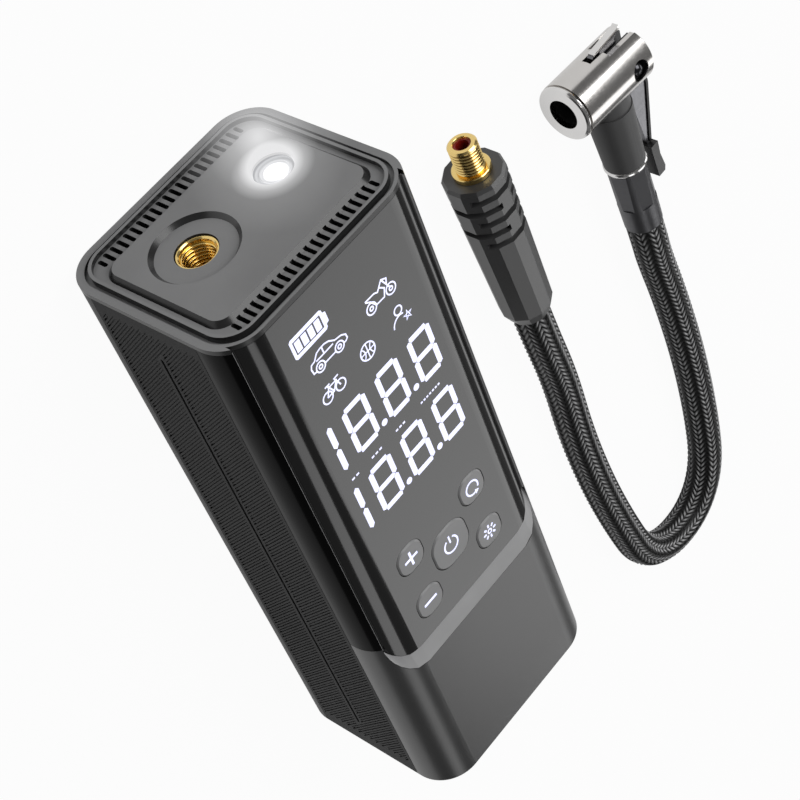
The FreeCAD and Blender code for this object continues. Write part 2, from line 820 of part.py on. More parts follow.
def battery_cells():
    """Two round cells side by side with their raised ends."""
    cells = []
    y_low = y_base + cell_foot
    for side in (-1, 1):
        x = side * (cell_radius + cell_gap / 2)
        body = y_rod(cell_radius, x, cell_axis_height(), y_low, y_low + cell_length - 1.2)
        button = y_rod(3.0, x, cell_axis_height(), y_low + cell_length - 1.2, y_low + cell_length)
        cells.append(fuse_all(body, [button]))
    return Part.makeCompound(cells)


def battery_clips():
    """Two saddles that hold the pair of cells to the back wall; the lower one has posts."""
    reach = 2 * cell_radius + cell_gap / 2 + clip_wall
    clips = []
    for y in (y_base + clip_foot, y_base + cell_foot + cell_length - 15):
        top = cell_axis_height() + cell_radius * 0.45
        saddle = box(-reach, reach, y, y + clip_length, shell_wall + 0.02, top)
        for side in (-1, 1):
            x = side * (cell_radius + cell_gap / 2)
            saddle = saddle.cut(y_rod(cell_radius + 0.05, x, cell_axis_height(), y - 1, y + clip_length + 1))
        clips.append(saddle)
    board_low = usb_height - usb_thick / 2 - usb_board
    for side in (-1, 1):
        x = side * (reach - clip_wall)
        arm = box(x - 1.2, x + 1.2, y_base + clip_foot, y_base + clip_foot + clip_length,
                  cell_axis_height(), board_low - 0.02)
        clips[0] = clips[0].fuse(arm)
        for side_cell in (-1, 1):
            x_cell = side_cell * (cell_radius + cell_gap / 2)
            clips[0] = clips[0].cut(y_rod(cell_radius + 0.05, x_cell, cell_axis_height(), y_base, y_base + 40))
    clips[0] = clips[0].removeSplitter()
    return Part.makeCompound(clips)


def charge_socket():
    """Charging socket whose mouth opens in the base wall."""
    y_low = y_base + 0.8
    half_thick = usb_thick / 2

    def place(a, b):
        return V(a, y_low, usb_height + b)

    outer = rounded_face(-usb_width / 2, usb_width / 2, -half_thick, half_thick,
                         half_thick - 0.1, half_thick - 0.1, place).extrude(V(0, usb_length, 0))
    wall = 0.3
    inner = rounded_face(-usb_width / 2 + wall, usb_width / 2 - wall, -half_thick + wall, half_thick - wall,
                         half_thick - wall - 0.1, half_thick - wall - 0.1, place)
    shell = outer.cut(inner.extrude(V(0, usb_length - 1.0, 0)))
    tongue = box(-usb_width / 2 + 1.2, usb_width / 2 - 1.2, y_low + 0.6, y_low + usb_length - 0.5,
                 usb_height - 0.35, usb_height + 0.35)
    return fuse_all(shell, [tongue])


def charge_board():
    """Board behind the charging socket, resting on the arms of the lower saddle."""
    reach = 2 * cell_radius + cell_gap / 2 + 0.2
    top = usb_height - usb_thick / 2 - 0.02
    y_low = y_base + base_wall + 0.2
    return box(-reach, reach, y_low, y_low + usb_board_length, top - usb_board, top)


# ---------------------------------------------------------------- pump
def involute_point(base_radius, radius):
    """Polar angle swept by the involute at a radius."""
    ratio = max(radius / base_radius, 1.0)
    angle = math.acos(1 / ratio)
    return math.tan(angle) - angle


def gear_face(teeth, x, y, z, turn_degrees):
    """Spur gear outline with stub involute teeth, in the plane across X."""
    pitch = gear_module * teeth / 2
    tip = pitch + 0.75 * gear_module
    root = pitch - 1.05 * gear_module
    base = pitch * math.cos(math.radians(pressure_angle))
    start = max(base, root)
    backlash = 0.06 * gear_module / pitch
    half = math.pi / 2 / teeth + involute_point(base, pitch) - backlash
    radii = [start + (tip - start) * step / 3 for step in range(4)]
    outline = []
    for tooth in range(teeth):
        middle = math.radians(turn_degrees) + 2 * math.pi * tooth / teeth
        flank = [(root, half + 0.02)] if start > root else []
        flank += [(radius, half - involute_point(base, radius)) for radius in radii]
        for radius, angle in flank:
            outline.append((radius, middle - angle))
        for radius, angle in reversed(flank):
            outline.append((radius, middle + angle))
    points = [V(x, y + r * math.cos(a), z + r * math.sin(a)) for r, a in outline]
    points.append(points[0])
    return Part.Face(Part.makePolygon(points))


def mesh_angle():
    """Direction from the motor axis to the crank axis."""
    return math.degrees(math.atan2(motor_drop, crank_y - motor_y))


def crank_gear():
    """Large gear with lightening holes, crank pin and its own axle."""
    wheel = gear_face(gear_teeth, x_gear, crank_y, crank_height, mesh_angle() + 180 + 180 / gear_teeth)
    wheel = wheel.extrude(V(gear_width, 0, 0))
    hub = x_rod(5.0, crank_y, crank_height, x_gear - 0.8, x_gear + gear_width + 0.2)
    for index in range(3):
        angle = math.radians(120 * index + 60 + 180)
        y = crank_y + 10.8 * math.cos(angle)
        z = crank_height + 10.8 * math.sin(angle)
        wheel = wheel.cut(x_rod(3.4, y, z, x_gear - 1, x_gear + gear_width + 1))
    pin_y = crank_y - crank_radius
    pin = x_rod(crank_pin_radius, pin_y, crank_height, x_crank_pin, x_gear + 0.5)
    axle = x_rod(axle_radius, crank_y, crank_height, x_gear, x_bracket + bush_length + 2.0)
    return fuse_all(wheel, [hub, pin, axle])


def motor_pinion():
    """Pinion with the stub of the motor shaft."""
    wheel = gear_face(pinion_teeth, x_gear - 0.5, motor_y, motor_height, mesh_angle())
    wheel = wheel.extrude(V(gear_width + 1.0, 0, 0))
    shaft = x_rod(shaft_radius, motor_y, motor_height, x_gear - 1.5, x_motor + 3.0)
    return fuse_all(wheel, [shaft])


def drive_motor():
    """Round motor can with a front boss and a shaft hole."""
    can = x_rod(motor_radius, motor_y, motor_height, x_motor, x_motor + motor_length)
    can = can.makeChamfer(can_chamfer, [can.Edges[0], can.Edges[2]])
    boss = x_rod(4.6, motor_y, motor_height, x_bracket + 0.2, x_motor + 0.5)
    tail = x_rod(3.5, motor_y, motor_height, x_motor + motor_length - 0.5, x_motor + motor_length + 1.4)
    motor = fuse_all(can, [boss, tail])
    return motor.cut(x_rod(shaft_radius + 0.35, motor_y, motor_height, x_bracket - 1, x_motor + 4.0))


def pump_bracket():
    """Bent steel plate that carries the motor, the crank and the cylinder."""
    z_low = crank_height - gear_tip - 1.0
    z_high = crank_height + 12.0
    y_low = motor_y - motor_radius + 1.5
    plate = box(x_bracket, x_motor - seam_gap, y_low, y_cylinder, z_low, z_high)
    x_flange = rod_x - bore_radius - cylinder_wall - cylinder_fin - 0.2
    flange = box(x_flange, x_bracket, y_flange, y_cylinder - 0.02, crank_height - 10.5, z_high - 1.5)
    foot = box(x_bracket, x_bracket + 10.0, y_cylinder - 10.0, y_cylinder, shell_wall + 0.02, shell_wall + bracket_thickness)
    web = box(x_bracket, x_motor - seam_gap, y_cylinder - 10.0, y_cylinder, shell_wall + 0.02, z_low + 1)
    bracket = fuse_all(plate, [flange, foot, web])
    bracket = bracket.cut(x_rod(4.75, motor_y, motor_height, x_bracket - 1, x_motor + 1))
    bracket = bracket.cut(x_rod(bush_radius + 0.02, crank_y, crank_height, x_bracket - 1, x_motor + 1))
    slot = rod_width / 2 + 1.2
    return bracket.cut(box(rod_x - slot, rod_x + slot, y_flange - 1, y_cylinder + 1,
                           crank_height - slot, crank_height + slot))


def axle_bush():
    """Plain bearing of the crank axle, pressed into the bracket."""
    start = x_bracket
    ring = x_rod(bush_radius, crank_y, crank_height, start, start + bush_length)
    return ring.cut(x_rod(axle_radius + axle_gap, crank_y, crank_height, start - 1, start + bush_length + 1))


def piston_rod():
    """Rod and wobble piston in one piece, with an open eye over the crank pin."""
    half = rod_thickness / 2
    pin_y = crank_y - crank_radius
    neck = box(rod_x - half, rod_x + half, pin_y, y_piston + 1, crank_height - rod_width / 2,
               crank_height + rod_width / 2)
    eye = x_rod(rod_eye_radius, pin_y, crank_height, rod_x - half, rod_x + half)
    crown = y_rod(bore_radius - piston_gap, rod_x, crank_height, y_piston, y_piston + piston_height)
    ring = y_rod(bore_radius + 1, rod_x, crank_height, y_piston + 1.6, y_piston + 2.8)
    ring = ring.cut(y_rod(bore_radius - 1.2, rod_x, crank_height, y_piston, y_piston + 5))
    rod = fuse_all(neck, [eye, crown])
    rod = rod.cut(ring)
    return rod.cut(x_rod(crank_pin_radius + 0.3, pin_y, crank_height, rod_x - half - 1, rod_x + half + 1))


def pump_cylinder():
    """Finned cylinder standing on the bracket flange."""
    outer = bore_radius + cylinder_wall
    barrel = y_rod(outer, rod_x, crank_height, y_cylinder, y_head)
    fins = []
    step = (y_head - y_cylinder) / (fin_count + 1)
    for index in range(fin_count):
        y = y_cylinder + (index + 1) * step - 0.6
        fins.append(y_rod(outer + cylinder_fin, rod_x, crank_height, y, y + 1.2))
    barrel = fuse_all(barrel, fins)
    return barrel.cut(y_rod(bore_radius, rod_x, crank_height, y_cylinder - 1, y_head + 1))


def cylinder_head():
    """Head with its outlet barb in line with the outlet socket."""
    y_low = y_head + 0.02
    head = y_rod(bore_radius + cylinder_wall, rod_x, crank_height, y_low, y_low + head_height)
    barb = y_rod(barb_radius, outlet_x, outlet_height, y_low + head_height - 0.5, y_low + head_height + 2.0)
    tap_low = crank_height + bore_radius - 2
    tap = z_rod(2.2, rod_x, y_low + head_height / 2, tap_low, tap_low + 6.0)
    head = fuse_all(head, [barb, tap])
    head = head.cut(y_rod(0.9, outlet_x, outlet_height, y_low - 1, y_low + head_height + 4))
    return head.cut(z_rod(0.9, rod_x, y_low + head_height / 2, crank_height, crank_height + 20))


def air_tube():
    """Short flexible tube from the head to the outlet socket."""
    y_low = y_head + head_height + 0.1
    y_high = y_socket_face - socket_bore_depth - 1.6
    tube = y_rod(tube_radius, outlet_x, outlet_height, y_low, y_high)
    return tube.cut(y_rod(barb_radius + 0.03, outlet_x, outlet_height, y_low - 1, y_high + 1))


def sensor_tube():
    """Thin tube from the head up to the pressure sensor."""
    y = y_head + 0.02 + head_height / 2
    low = crank_height + bore_radius + 4.02
    tube = z_rod(2.4, rod_x, y, low, z_sensor() - 0.02)
    return tube.cut(z_rod(0.9, rod_x, y, low - 1, z_sensor() + 1))


def z_sensor():
    """Underside of the pressure sensor."""
    return z_board - 0.02 - board_thickness - 3.0


def pressure_sensor():
    """Pressure sensor on the lower face of the board."""
    y = y_head + 0.02 + head_height / 2
    return box(rod_x - 3.5, rod_x + 3.5, y - 3.5, y + 3.5, z_sensor(), z_board - 0.04 - board_thickness)


def case_screws():
    """Four screws driven in from the back."""
    screws = []
    for x in (-screw_x, screw_x):
        for y in (y_screw_low, y_screw_high):
            shank_top = panel_top + 2.0 if y == y_screw_low else panel_top - 2.0
            head = z_rod(screw_head_radius, x, y, 0.4, screw_head_height + 0.35)
            shank = z_rod(screw_radius - 0.25, x, y, screw_head_height, shank_top)
            screws.append(fuse_all(head, [shank]))
    return Part.makeCompound(screws)


# ---------------------------------------------------------------- hose fitting
def lay_grip(shape):
    """Places a shape made along +Y from the grip's front face."""
    shape.rotate(V(0, 0, 0), V(0, 0, 1), grip_turn)
    front = V(0, grip_top_y, 0)
    front = FreeCAD.Rotation(V(0, 0, 1), grip_turn).multVec(front)
    shape.translate(V(grip_axis_x + front.x, grip_axis_y + front.y, grip_height))
    return shape


def facet_wire(radius, y):
    """Regular outline of the grip across Y."""
    points = []
    for index in range(grip_facets + 1):
        angle = 2 * math.pi * (index + 0.5) / grip_facets
        points.append(V(radius * math.cos(angle), y, radius * math.sin(angle)))
    return Part.makePolygon(points)


def relief_slot(level, start_degrees, end_degrees):
    """Part-turn groove round the grip; angles run from the top towards -X."""
    y_mid = -relief_first - level * relief_pitch
    outer = grip_radius + 2
    inner = grip_radius - relief_depth
    low = V(0, y_mid - relief_width / 2, 0)
    turn = end_degrees - start_degrees
    wide = Part.makeCylinder(outer, relief_width, low, V(0, 1, 0), turn)
    slim = Part.makeCylinder(inner, relief_width + 2, low - V(0, 1, 0), V(0, 1, 0))
    slot = wide.cut(slim)
    slot.rotate(V(0, 0, 0), V(0, 1, 0), -start_degrees - turn)
    return slot


def hose_grip():
    """Faceted tapering grip with staggered strain relief slots near its front."""
    sections = [
        facet_wire(grip_radius - 0.6, 0),
        facet_wire(grip_radius, -grip_top_chamfer),
        facet_wire(grip_end_radius, -grip_length + grip_end_chamfer),
        facet_wire(hose_radius + 0.5, -grip_length),
    ]
    grip = Part.makeLoft(sections, True, True)
    slots = []
    for level in range(relief_count):
        if level % 2 == 0:
            slots.append(relief_slot(level, -96, 64))
            slots.append(relief_slot(level, 140, 236))
        else:
            slots.append(relief_slot(level, 9, 160))
            slots.append(relief_slot(level, -150, -20))
    grip = grip.cut(Part.makeCompound(slots))
    grip = grip.cut(y_rod(nipple_shank_radius + 0.05, 0, 0, -nipple_shank - 0.1, 1))
    return lay_grip(grip)


def hose_nipple():
    """Brass nipple: shank in the grip, flange, and the end that screws into the outlet."""
    shank = y_rod(nipple_shank_radius, 0, 0, -nipple_shank, 0.5)
    flange = y_rod(nipple_flange_radius, 0, 0, 0.02, nipple_flange)
    thread = y_rod(thread_radius, 0, 0, nipple_flange, nipple_flange + thread_length - 0.5)
    tip = y_cone(thread_radius, thread_radius - 0.5, 0, 0, nipple_flange + thread_length - 0.5,
                 nipple_flange + thread_length)
    nipple = fuse_all(shank, [flange, thread, tip])
    bore = nipple_flange + thread_length - seal_length
    nipple = nipple.cut(y_rod(nipple_bore_radius, 0, 0, bore, 40))
    return lay_grip(nipple.cut(y_rod(1.2, 0, 0, -40, 40)))


def nipple_seal():
    """Red liner in the mouth of the nipple."""
    high = nipple_flange + thread_length - 0.6
    low = nipple_flange + thread_length - seal_length + 0.02
    ring = y_rod(nipple_bore_radius - 0.02, 0, 0, low, high)
    return lay_grip(ring.cut(y_rod(nipple_bore_radius - seal_wall, 0, 0, low - 1, high + 1)))


# ---------------------------------------------------------------- valve chuck
def lay_chuck(shape):
    """Places a shape made in the chuck's frame."""
    shape.rotate(V(0, 0, 0), V(0, 0, 1), chuck_turn)
    shape.translate(V(chuck_x, chuck_y, chuck_height))
    return shape


def along_barrel(shape):
    """Turns a shape made on the X axis onto the barrel axis."""
    shape.rotate(V(0, 0, 0), V(0, 0, 1), barrel_turn)
    return shape


def barrel_rod(radius, from_mouth, to_mouth):
    """Cylinder on the barrel axis, between two distances from the mouth."""
    return x_rod(radius, 0, 0, from_mouth - barrel_mouth, to_mouth - barrel_mouth)


def claw_opening(gap):
    """Stepped slot on the far side of the barrel, open at the rear."""
    start = claw_slot_front - barrel_mouth
    step = claw_slot_step - barrel_mouth
    narrow = claw_slot_narrow / 2 + gap
    wide = claw_slot_wide / 2 + gap
    rear = barrel_tail + 2
    slot = box(start, rear, chuck_bore_radius - 0.6, barrel_radius + 2, -narrow, narrow)
    return slot.fuse(box(step, rear, barrel_radius - barrel_wall - 0.2, barrel_radius + 2, -wide, wide))


def lever_opening():
    """Slot on the stem side of the barrel, open at the rear, for the lever plate."""
    half = lever_thickness / 2 + lever_slot_gap
    return box(pivot_x - lever_hub_radius - 0.6, barrel_tail + 2, -barrel_radius - 2, 0, -half, half)


def chuck_barrel():
    """Chrome barrel with the claw slot, the lever slot, the pin window and the stem hole."""
    front = mouth_ring + 0.05 - barrel_mouth
    inside = barrel_radius - barrel_wall
    tube = turned_x([
        (front, inside),
        (front, barrel_radius),
        (barrel_tail - barrel_ease, barrel_radius),
        (barrel_tail, barrel_radius - barrel_ease),
        (barrel_tail, inside),
    ])
    tube = tube.cut(claw_opening(0))
    tube = tube.cut(lever_opening())
    tube = tube.cut(z_rod(pin_window_radius, pivot_x, 0, 0, barrel_radius + 2))
    tube = along_barrel(tube)
    tube = tube.cut(y_rod(stem_radius + 0.1, 0, 0, -20, 0))
    return lay_chuck(tube)


def chuck_mouth_ring():
    """Bright ring round the mouth of the chuck."""
    low = -barrel_mouth
    ring = eased_ring(low, low + mouth_ring, chuck_bore_radius, barrel_radius - 0.1, 0.7)
    return lay_chuck(along_barrel(ring))


def chuck_liner():
    """Dark lining tube of the bore, in front of the claw."""
    tube = barrel_rod(liner_radius(), mouth_ring + 0.05, claw_slot_front - 0.02)
    tube = tube.cut(barrel_rod(chuck_bore_radius, 0, claw_slot_front + 1))
    tube = along_barrel(tube)
    return lay_chuck(tube.cut(y_rod(stem_radius + 0.1, 0, 0, -20, -stem_seat + 2.5)))


def liner_radius():
    """Radius of the inner pieces, just inside the barrel."""
    return barrel_radius - barrel_wall - 0.05


def chuck_core():
    """Dark inner body, bored for the valve and forked for the lever."""
    core = barrel_rod(liner_radius(), claw_slot_front, barrel_mouth + barrel_tail - 0.6)
    core = core.cut(barrel_rod(chuck_bore_radius, 0, chuck_bore_depth))
    half = lever_thickness / 2 + lever_slot_gap
    core = core.cut(box(pivot_x - lever_hub_radius - 0.6, 40, -40, 40, -half, half))
    core = core.cut(box(claw_slot_front - barrel_mouth, 40, 2.5, 40, -half, half))
    core = core.cut(z_rod(pin_radius + 0.03, pivot_x, 0, -40, 40))
    core = core.cut(z_rod(pin_window_radius, pivot_x, 0, half + 3.6, 40))
    core = along_barrel(core)
    core = core.cut(y_rod(stem_radius + 0.1, 0, 0, -20, -stem_seat + 2.5))
    return lay_chuck(core)


def chuck_washer():
    """Rubber washer that the valve seals against."""
    low = chuck_bore_depth - washer_thickness
    ring = barrel_rod(chuck_bore_radius - 0.05, low, chuck_bore_depth - 0.05)
    return lay_chuck(along_barrel(ring.cut(barrel_rod(washer_hole, low - 1, 40))))


def lever_pin():
    """Pin that the lever turns on, with a round head in the barrel's window."""
    half = lever_thickness / 2 + lever_slot_gap
    shank = z_rod(pin_radius, pivot_x, 0, -barrel_radius + barrel_wall + 1.2, half + 4.0)
    head = z_rod(pin_head_radius, pivot_x, 0, half + 3.7, half + 5.0)
    cap = Part.makeSphere(pin_head_radius, V(pivot_x, 0, half + 4.6))
    cap = cap.common(box(-20, 20, -20, 20, half + 4.4, 20))
    return lay_chuck(along_barrel(fuse_all(shank, [head, cap])))


def clamp_lever():
    """Flat steel rocker: claw with a tooth, hub, and the arm that carries the pad."""
    half = lever_thickness / 2
    tooth_front = claw_slot_front + 1.6 - barrel_mouth
    claw = [
        (tooth_front, 4.7),
        (tooth_front, barrel_radius),
        (tooth_front + 0.4, barrel_radius + 0.35),
        (9.2, 9.9),
        (9.4, 9.2),
        (7.4, 8.3),
        (pivot_x + 1.6, 2.2),
        (pivot_x - 2.4, 1.8),
        (3.4, 6.3),
        (tooth_front + 1.7, 6.3),
        (tooth_front + 1.3, 4.7),
    ]
    arm = [
        (pivot_x - 2.6, -1.5),
        (pivot_x + 2.6, -1.5),
        (15.2, -11.5),
        (15.3, -13.5),
        (pad_arm_outer, -pad_head + 0.6),
        (pad_arm_outer, -pad_foot + pad_arm_end),
        (pad_arm_inner, -pad_foot + pad_arm_end),
        (pad_arm_inner, -pad_head),
        (7.6, -14.0),
    ]

    def plate(points):
        corners = [V(x, y, -half) for x, y in points + points[:1]]
        return Part.Face(Part.makePolygon(corners)).extrude(V(0, 0, lever_thickness))

    claw_plate = along_barrel(plate(claw))
    hub = along_barrel(z_rod(lever_hub_radius, pivot_x, 0, -half, half))
    lever = fuse_all(hub, [claw_plate, plate(arm)])
    bore = along_barrel(z_rod(pin_radius + 0.15, pivot_x, 0, -5, 5))
    return lay_chuck(lever.cut(bore))


def lever_pad():
    """Black thumb pad moulded over the end of the lever, with a flared outer face."""
    def section(y, outer):
        points = [
            V(pad_inner, y, -pad_half_height),
            V(outer, y, -pad_half_height),
            V(outer, y, pad_half_height),
            V(pad_inner, y, pad_half_height),
            V(pad_inner, y, -pad_half_height),
        ]
        return Part.makePolygon(points)

    pad = Part.makeLoft([
        section(-pad_foot, pad_outer - pad_waist),
        section(-pad_foot + 1.5, pad_outer),
        section(-pad_head - 4.5, pad_outer - pad_waist),
        section(-pad_head, pad_outer - 0.2),
    ], True, True)
    half = lever_thickness / 2 + pocket_gap
    pocket = box(pad_arm_inner - pocket_gap, pad_arm_outer + pocket_gap,
                 -pad_foot + pad_arm_end - pocket_gap, 0, -half, half)
    return lay_chuck(pad.cut(pocket))


def chuck_stem():
    """Round stem that narrows towards the silver ring, with a turned-down neck."""
    low = -stem_length
    shape = Part.makeCone(stem_end_radius, stem_radius, stem_length - 9.5, V(0, low, 0), V(0, 1, 0))
    neck = y_rod(stem_radius - 0.35, 0, 0, -9.6, -stem_seat + 2.4)
    stem = fuse_all(shape, [neck])
    half = lever_thickness / 2 + lever_slot_gap
    slot = box(pivot_x - lever_hub_radius - 1.2, 20, -12, 20, -half, half)
    return lay_chuck(stem.cut(slot))


def sleeve_ring():
    """Silver ring between the stem and the sleeve."""
    high = -stem_length - 0.02
    ring = eased_ring(-high, silver_ring_length - high, 0.0, silver_ring_radius, 0.5)
    ring.rotate(V(0, 0, 0), V(0, 0, 1), -90)
    return lay_chuck(ring)


def hose_sleeve():
    """Crimp sleeve with six flats, ending round over the hose."""
    high = -stem_length - silver_ring_length - 0.04
    low = -stem_length - silver_ring_length - sleeve_length
    blank = Part.makeCone(sleeve_end_radius, sleeve_radius, high - low, V(0, low, 0), V(0, 1, 0))
    cutters = []
    for index in range(6):
        slab = box(sleeve_flat, sleeve_flat + 5, high - sleeve_flats_length, high - 0.3, -8, 8)
        slab.rotate(V(0, 0, 0), V(0, 1, 0), 60 * index + 12)
        cutters.append(slab)
    return lay_chuck(blank.cut(Part.makeCompound(cutters)))


def grip_point(distance):
    """Point on the grip axis, a distance behind its front face."""
    offset = FreeCAD.Rotation(V(0, 0, 1), grip_turn).multVec(V(0, grip_top_y - distance, 0))
    return V(grip_axis_x + offset.x, grip_axis_y + offset.y, grip_height)


def chuck_point(distance):
    """Point on the stem axis, a distance from the barrel axis."""
    offset = FreeCAD.Rotation(V(0, 0, 1), chuck_turn).multVec(V(0, -distance, 0))
    return V(chuck_x + offset.x, chuck_y + offset.y, chuck_height)


def air_hose():
    """Braided hose in one long loop on the surface: straight runs and tangent arcs."""
    floor = hose_radius + 0.1
    route = [
        grip_point(grip_length + 0.02),
        grip_point(grip_length + 12.0),
        V(83.6, -67.5, 6.1),
        V(83.2, -92.0, floor + 0.05),
        V(84.6, -116.0, floor),
        V(87.6, -138.5, floor),
        V(92.0, -160.4, floor),
        V(103.6, -169.8, floor),
        V(118.6, -169.0, floor),
        V(128.7, -158.0, floor),
        V(132.2, -138.0, floor),
        V(133.8, -111.0, floor),
        V(132.8, -83.0, floor + 0.1),
        V(129.7, -61.5, 6.9),
        chuck_point(stem_length + silver_ring_length + sleeve_length + 9.0),
        chuck_point(stem_length + silver_ring_length + sleeve_length + 0.02),
    ]
    edges = []
    start = route[0]
    for index in range(1, len(route) - 1):
        before = route[index - 1] - route[index]
        after = route[index + 1] - route[index]
        shorter = min(before.Length, after.Length)
        into = V(before).normalize()
        out = V(after).normalize()
        turn = math.pi - into.getAngle(out)
        radius = 0.45 * shorter / math.tan(turn / 2)
        print("hose corner", index, "turn", round(math.degrees(turn), 1), "radius", round(radius, 1))
        reach = 0.45 * shorter
        first = route[index] + into * reach
        last = route[index] + out * reach
        bisector = (into + out).normalize()
        middle = route[index] + bisector * (radius / math.cos(turn / 2) - radius)
        edges.append(Part.LineSegment(start, first).toShape())
        edges.append(Part.Arc(first, middle, last).toShape())
        start = last
    edges.append(Part.LineSegment(start, route[-1]).toShape())
    path = Part.Wire(edges)
    profile = Part.Wire(Part.Circle(route[0], route[1] - route[0], hose_radius).toShape())
    shell = Part.BRepOffsetAPI.MakePipeShell(path)
    shell.add(profile)
    shell.build()
    shell.makeSolid()
    hose = shell.shape()
    print("hose length", round(path.Length, 1), "volume ratio",
          round(hose.Volume / (math.pi * hose_radius ** 2 * path.Length), 4))
    return hose


# ---------------------------------------------------------------- write the pieces
pieces = {
    "main_shell": main_shell(),
    "left_grip_panel": grip_panel(-1),
    "right_grip_panel": grip_panel(1),
    "front_frame": front_frame(),
    "display_cover": display_cover(),
    "trim_band": trim_band(),
    "lower_case": lower_case(),
    "top_cap": top_cap(),
    "outlet_socket": outlet_socket(),
    "lamp_lens": lamp_lens(),
    "lamp_reflector": lamp_reflector(),
    "lamp_module": lamp_module(),
    "key_switches": key_switches(),
    "display_panel": display_panel(),
    "main_board": main_board(),
    "battery_cells": battery_cells(),
    "battery_clips": battery_clips(),
    "charge_socket": charge_socket(),
    "charge_board": charge_board(),
    "drive_motor": drive_motor(),
    "motor_pinion": motor_pinion(),
    "crank_gear": crank_gear(),
    "pump_bracket": pump_bracket(),
    "axle_bush": axle_bush(),
    "piston_rod": piston_rod(),
    "pump_cylinder": pump_cylinder(),
    "cylinder_head": cylinder_head(),
    "air_tube": air_tube(),
    "sensor_tube": sensor_tube(),
    "pressure_sensor": pressure_sensor(),
    "case_screws": case_screws(),
    "hose_grip": hose_grip(),
    "hose_nipple": hose_nipple(),
    "nipple_seal": nipple_seal(),
    "air_hose": air_hose(),
    "hose_sleeve": hose_sleeve(),
    "sleeve_ring": sleeve_ring(),
    "chuck_stem": chuck_stem(),
    "chuck_barrel": chuck_barrel(),
    "chuck_mouth_ring": chuck_mouth_ring(),
    "chuck_liner": chuck_liner(),
    "chuck_core": chuck_core(),
    "chuck_washer": chuck_washer(),
    "lever_pin": lever_pin(),
    "clamp_lever": clamp_lever(),
    "lever_pad": lever_pad(),
}
key_names = ("power_key", "plus_key", "minus_key", "mode_key", "lamp_key")
for name, place in zip(key_names, key_places()):
    pieces[name] = key_cap(place)

for name, shape in pieces.items():
    shape.exportStep(f"parts/{name}.step")
    print(name, "solids", len(shape.Solids), "volume", round(shape.Volume, 1), "valid", shape.isValid())
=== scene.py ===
import math

import bmesh
import bpy
import numpy as np
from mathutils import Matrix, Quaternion, Vector


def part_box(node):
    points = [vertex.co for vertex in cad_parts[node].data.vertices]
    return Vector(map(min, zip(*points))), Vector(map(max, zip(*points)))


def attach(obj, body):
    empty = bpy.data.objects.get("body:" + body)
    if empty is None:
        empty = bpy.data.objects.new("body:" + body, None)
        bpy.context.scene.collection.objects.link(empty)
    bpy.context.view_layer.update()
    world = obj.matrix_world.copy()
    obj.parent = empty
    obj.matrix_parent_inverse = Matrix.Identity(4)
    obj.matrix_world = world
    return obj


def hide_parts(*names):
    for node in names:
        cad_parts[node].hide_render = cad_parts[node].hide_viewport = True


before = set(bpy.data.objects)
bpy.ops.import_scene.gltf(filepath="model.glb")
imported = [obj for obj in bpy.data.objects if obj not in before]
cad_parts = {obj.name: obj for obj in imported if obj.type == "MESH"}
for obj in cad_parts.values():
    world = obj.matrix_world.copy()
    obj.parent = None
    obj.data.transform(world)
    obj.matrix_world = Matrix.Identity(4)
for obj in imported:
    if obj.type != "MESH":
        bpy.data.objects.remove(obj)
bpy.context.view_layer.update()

# Camera. A long lens looks down on the display from beyond the vented end, turned well over
# to one side, so that the housing stands up in the picture with its hose beside it.
camera_data = bpy.data.cameras.new("camera")
camera_data.lens = 97.0
camera_data.sensor_width = 36.0
camera_data.clip_start = 0.01
camera_data.clip_end = 20.0
camera = bpy.data.objects.new("camera", camera_data)
bpy.context.scene.collection.objects.link(camera)
camera.location = (-0.17144, 0.37251, 0.32645)
camera_aim = Vector((0.02360, -0.00443, 0.020))
camera_roll = math.radians(115.18)
look = (camera_aim - camera.location).to_track_quat("-Z", "Y")
camera.rotation_mode = "QUATERNION"
camera.rotation_quaternion = look @ Quaternion((0.0, 0.0, 1.0), camera_roll)
bpy.context.scene.camera = camera

# Hose. A rubber air line in a braided nylon sleeve, 10.8 mm thick, that leaves the grip
# and comes back to the chuck's crimp sleeve in one long loop on the table.
hose_route = np.array([
    (0.079544, -0.032937, 0.0086),
    (0.080130, -0.044903, 0.0086),
    (0.0836, -0.0675, 0.0061),
    (0.0832, -0.0920, 0.00555),
    (0.0846, -0.1160, 0.0055),
    (0.0876, -0.1385, 0.0055),
    (0.0920, -0.1604, 0.0055),
    (0.1036, -0.1698, 0.0055),
    (0.1186, -0.1690, 0.0055),
    (0.1287, -0.1580, 0.0055),
    (0.1322, -0.1380, 0.0055),
    (0.1338, -0.1110, 0.0055),
    (0.1328, -0.0830, 0.0056),
    (0.1297, -0.0615, 0.0069),
    (0.128481, -0.053962, 0.0083),
    (0.128168, -0.044987, 0.0083),
])


def smooth_line(route):
    """Points along the smooth spline whose control points are the route's."""
    curve = bpy.data.curves.new("hose_line", "CURVE")
    curve.dimensions = "3D"
    curve.resolution_u = 40
    spline = curve.splines.new("NURBS")
    spline.points.add(len(route) - 1)
    spline.points.foreach_set("co", np.c_[route, np.ones(len(route))].ravel())
    spline.order_u = 3
    spline.use_endpoint_u = True
    holder = bpy.data.objects.new("hose_line", curve)
    bpy.context.scene.collection.objects.link(holder)
    bpy.context.view_layer.update()
    line = bpy.data.meshes.new_from_object(holder)
    points = np.zeros(len(line.vertices) * 3)
    line.vertices.foreach_get("co", points)
    bpy.data.objects.remove(holder)
    return points.reshape(-1, 3)


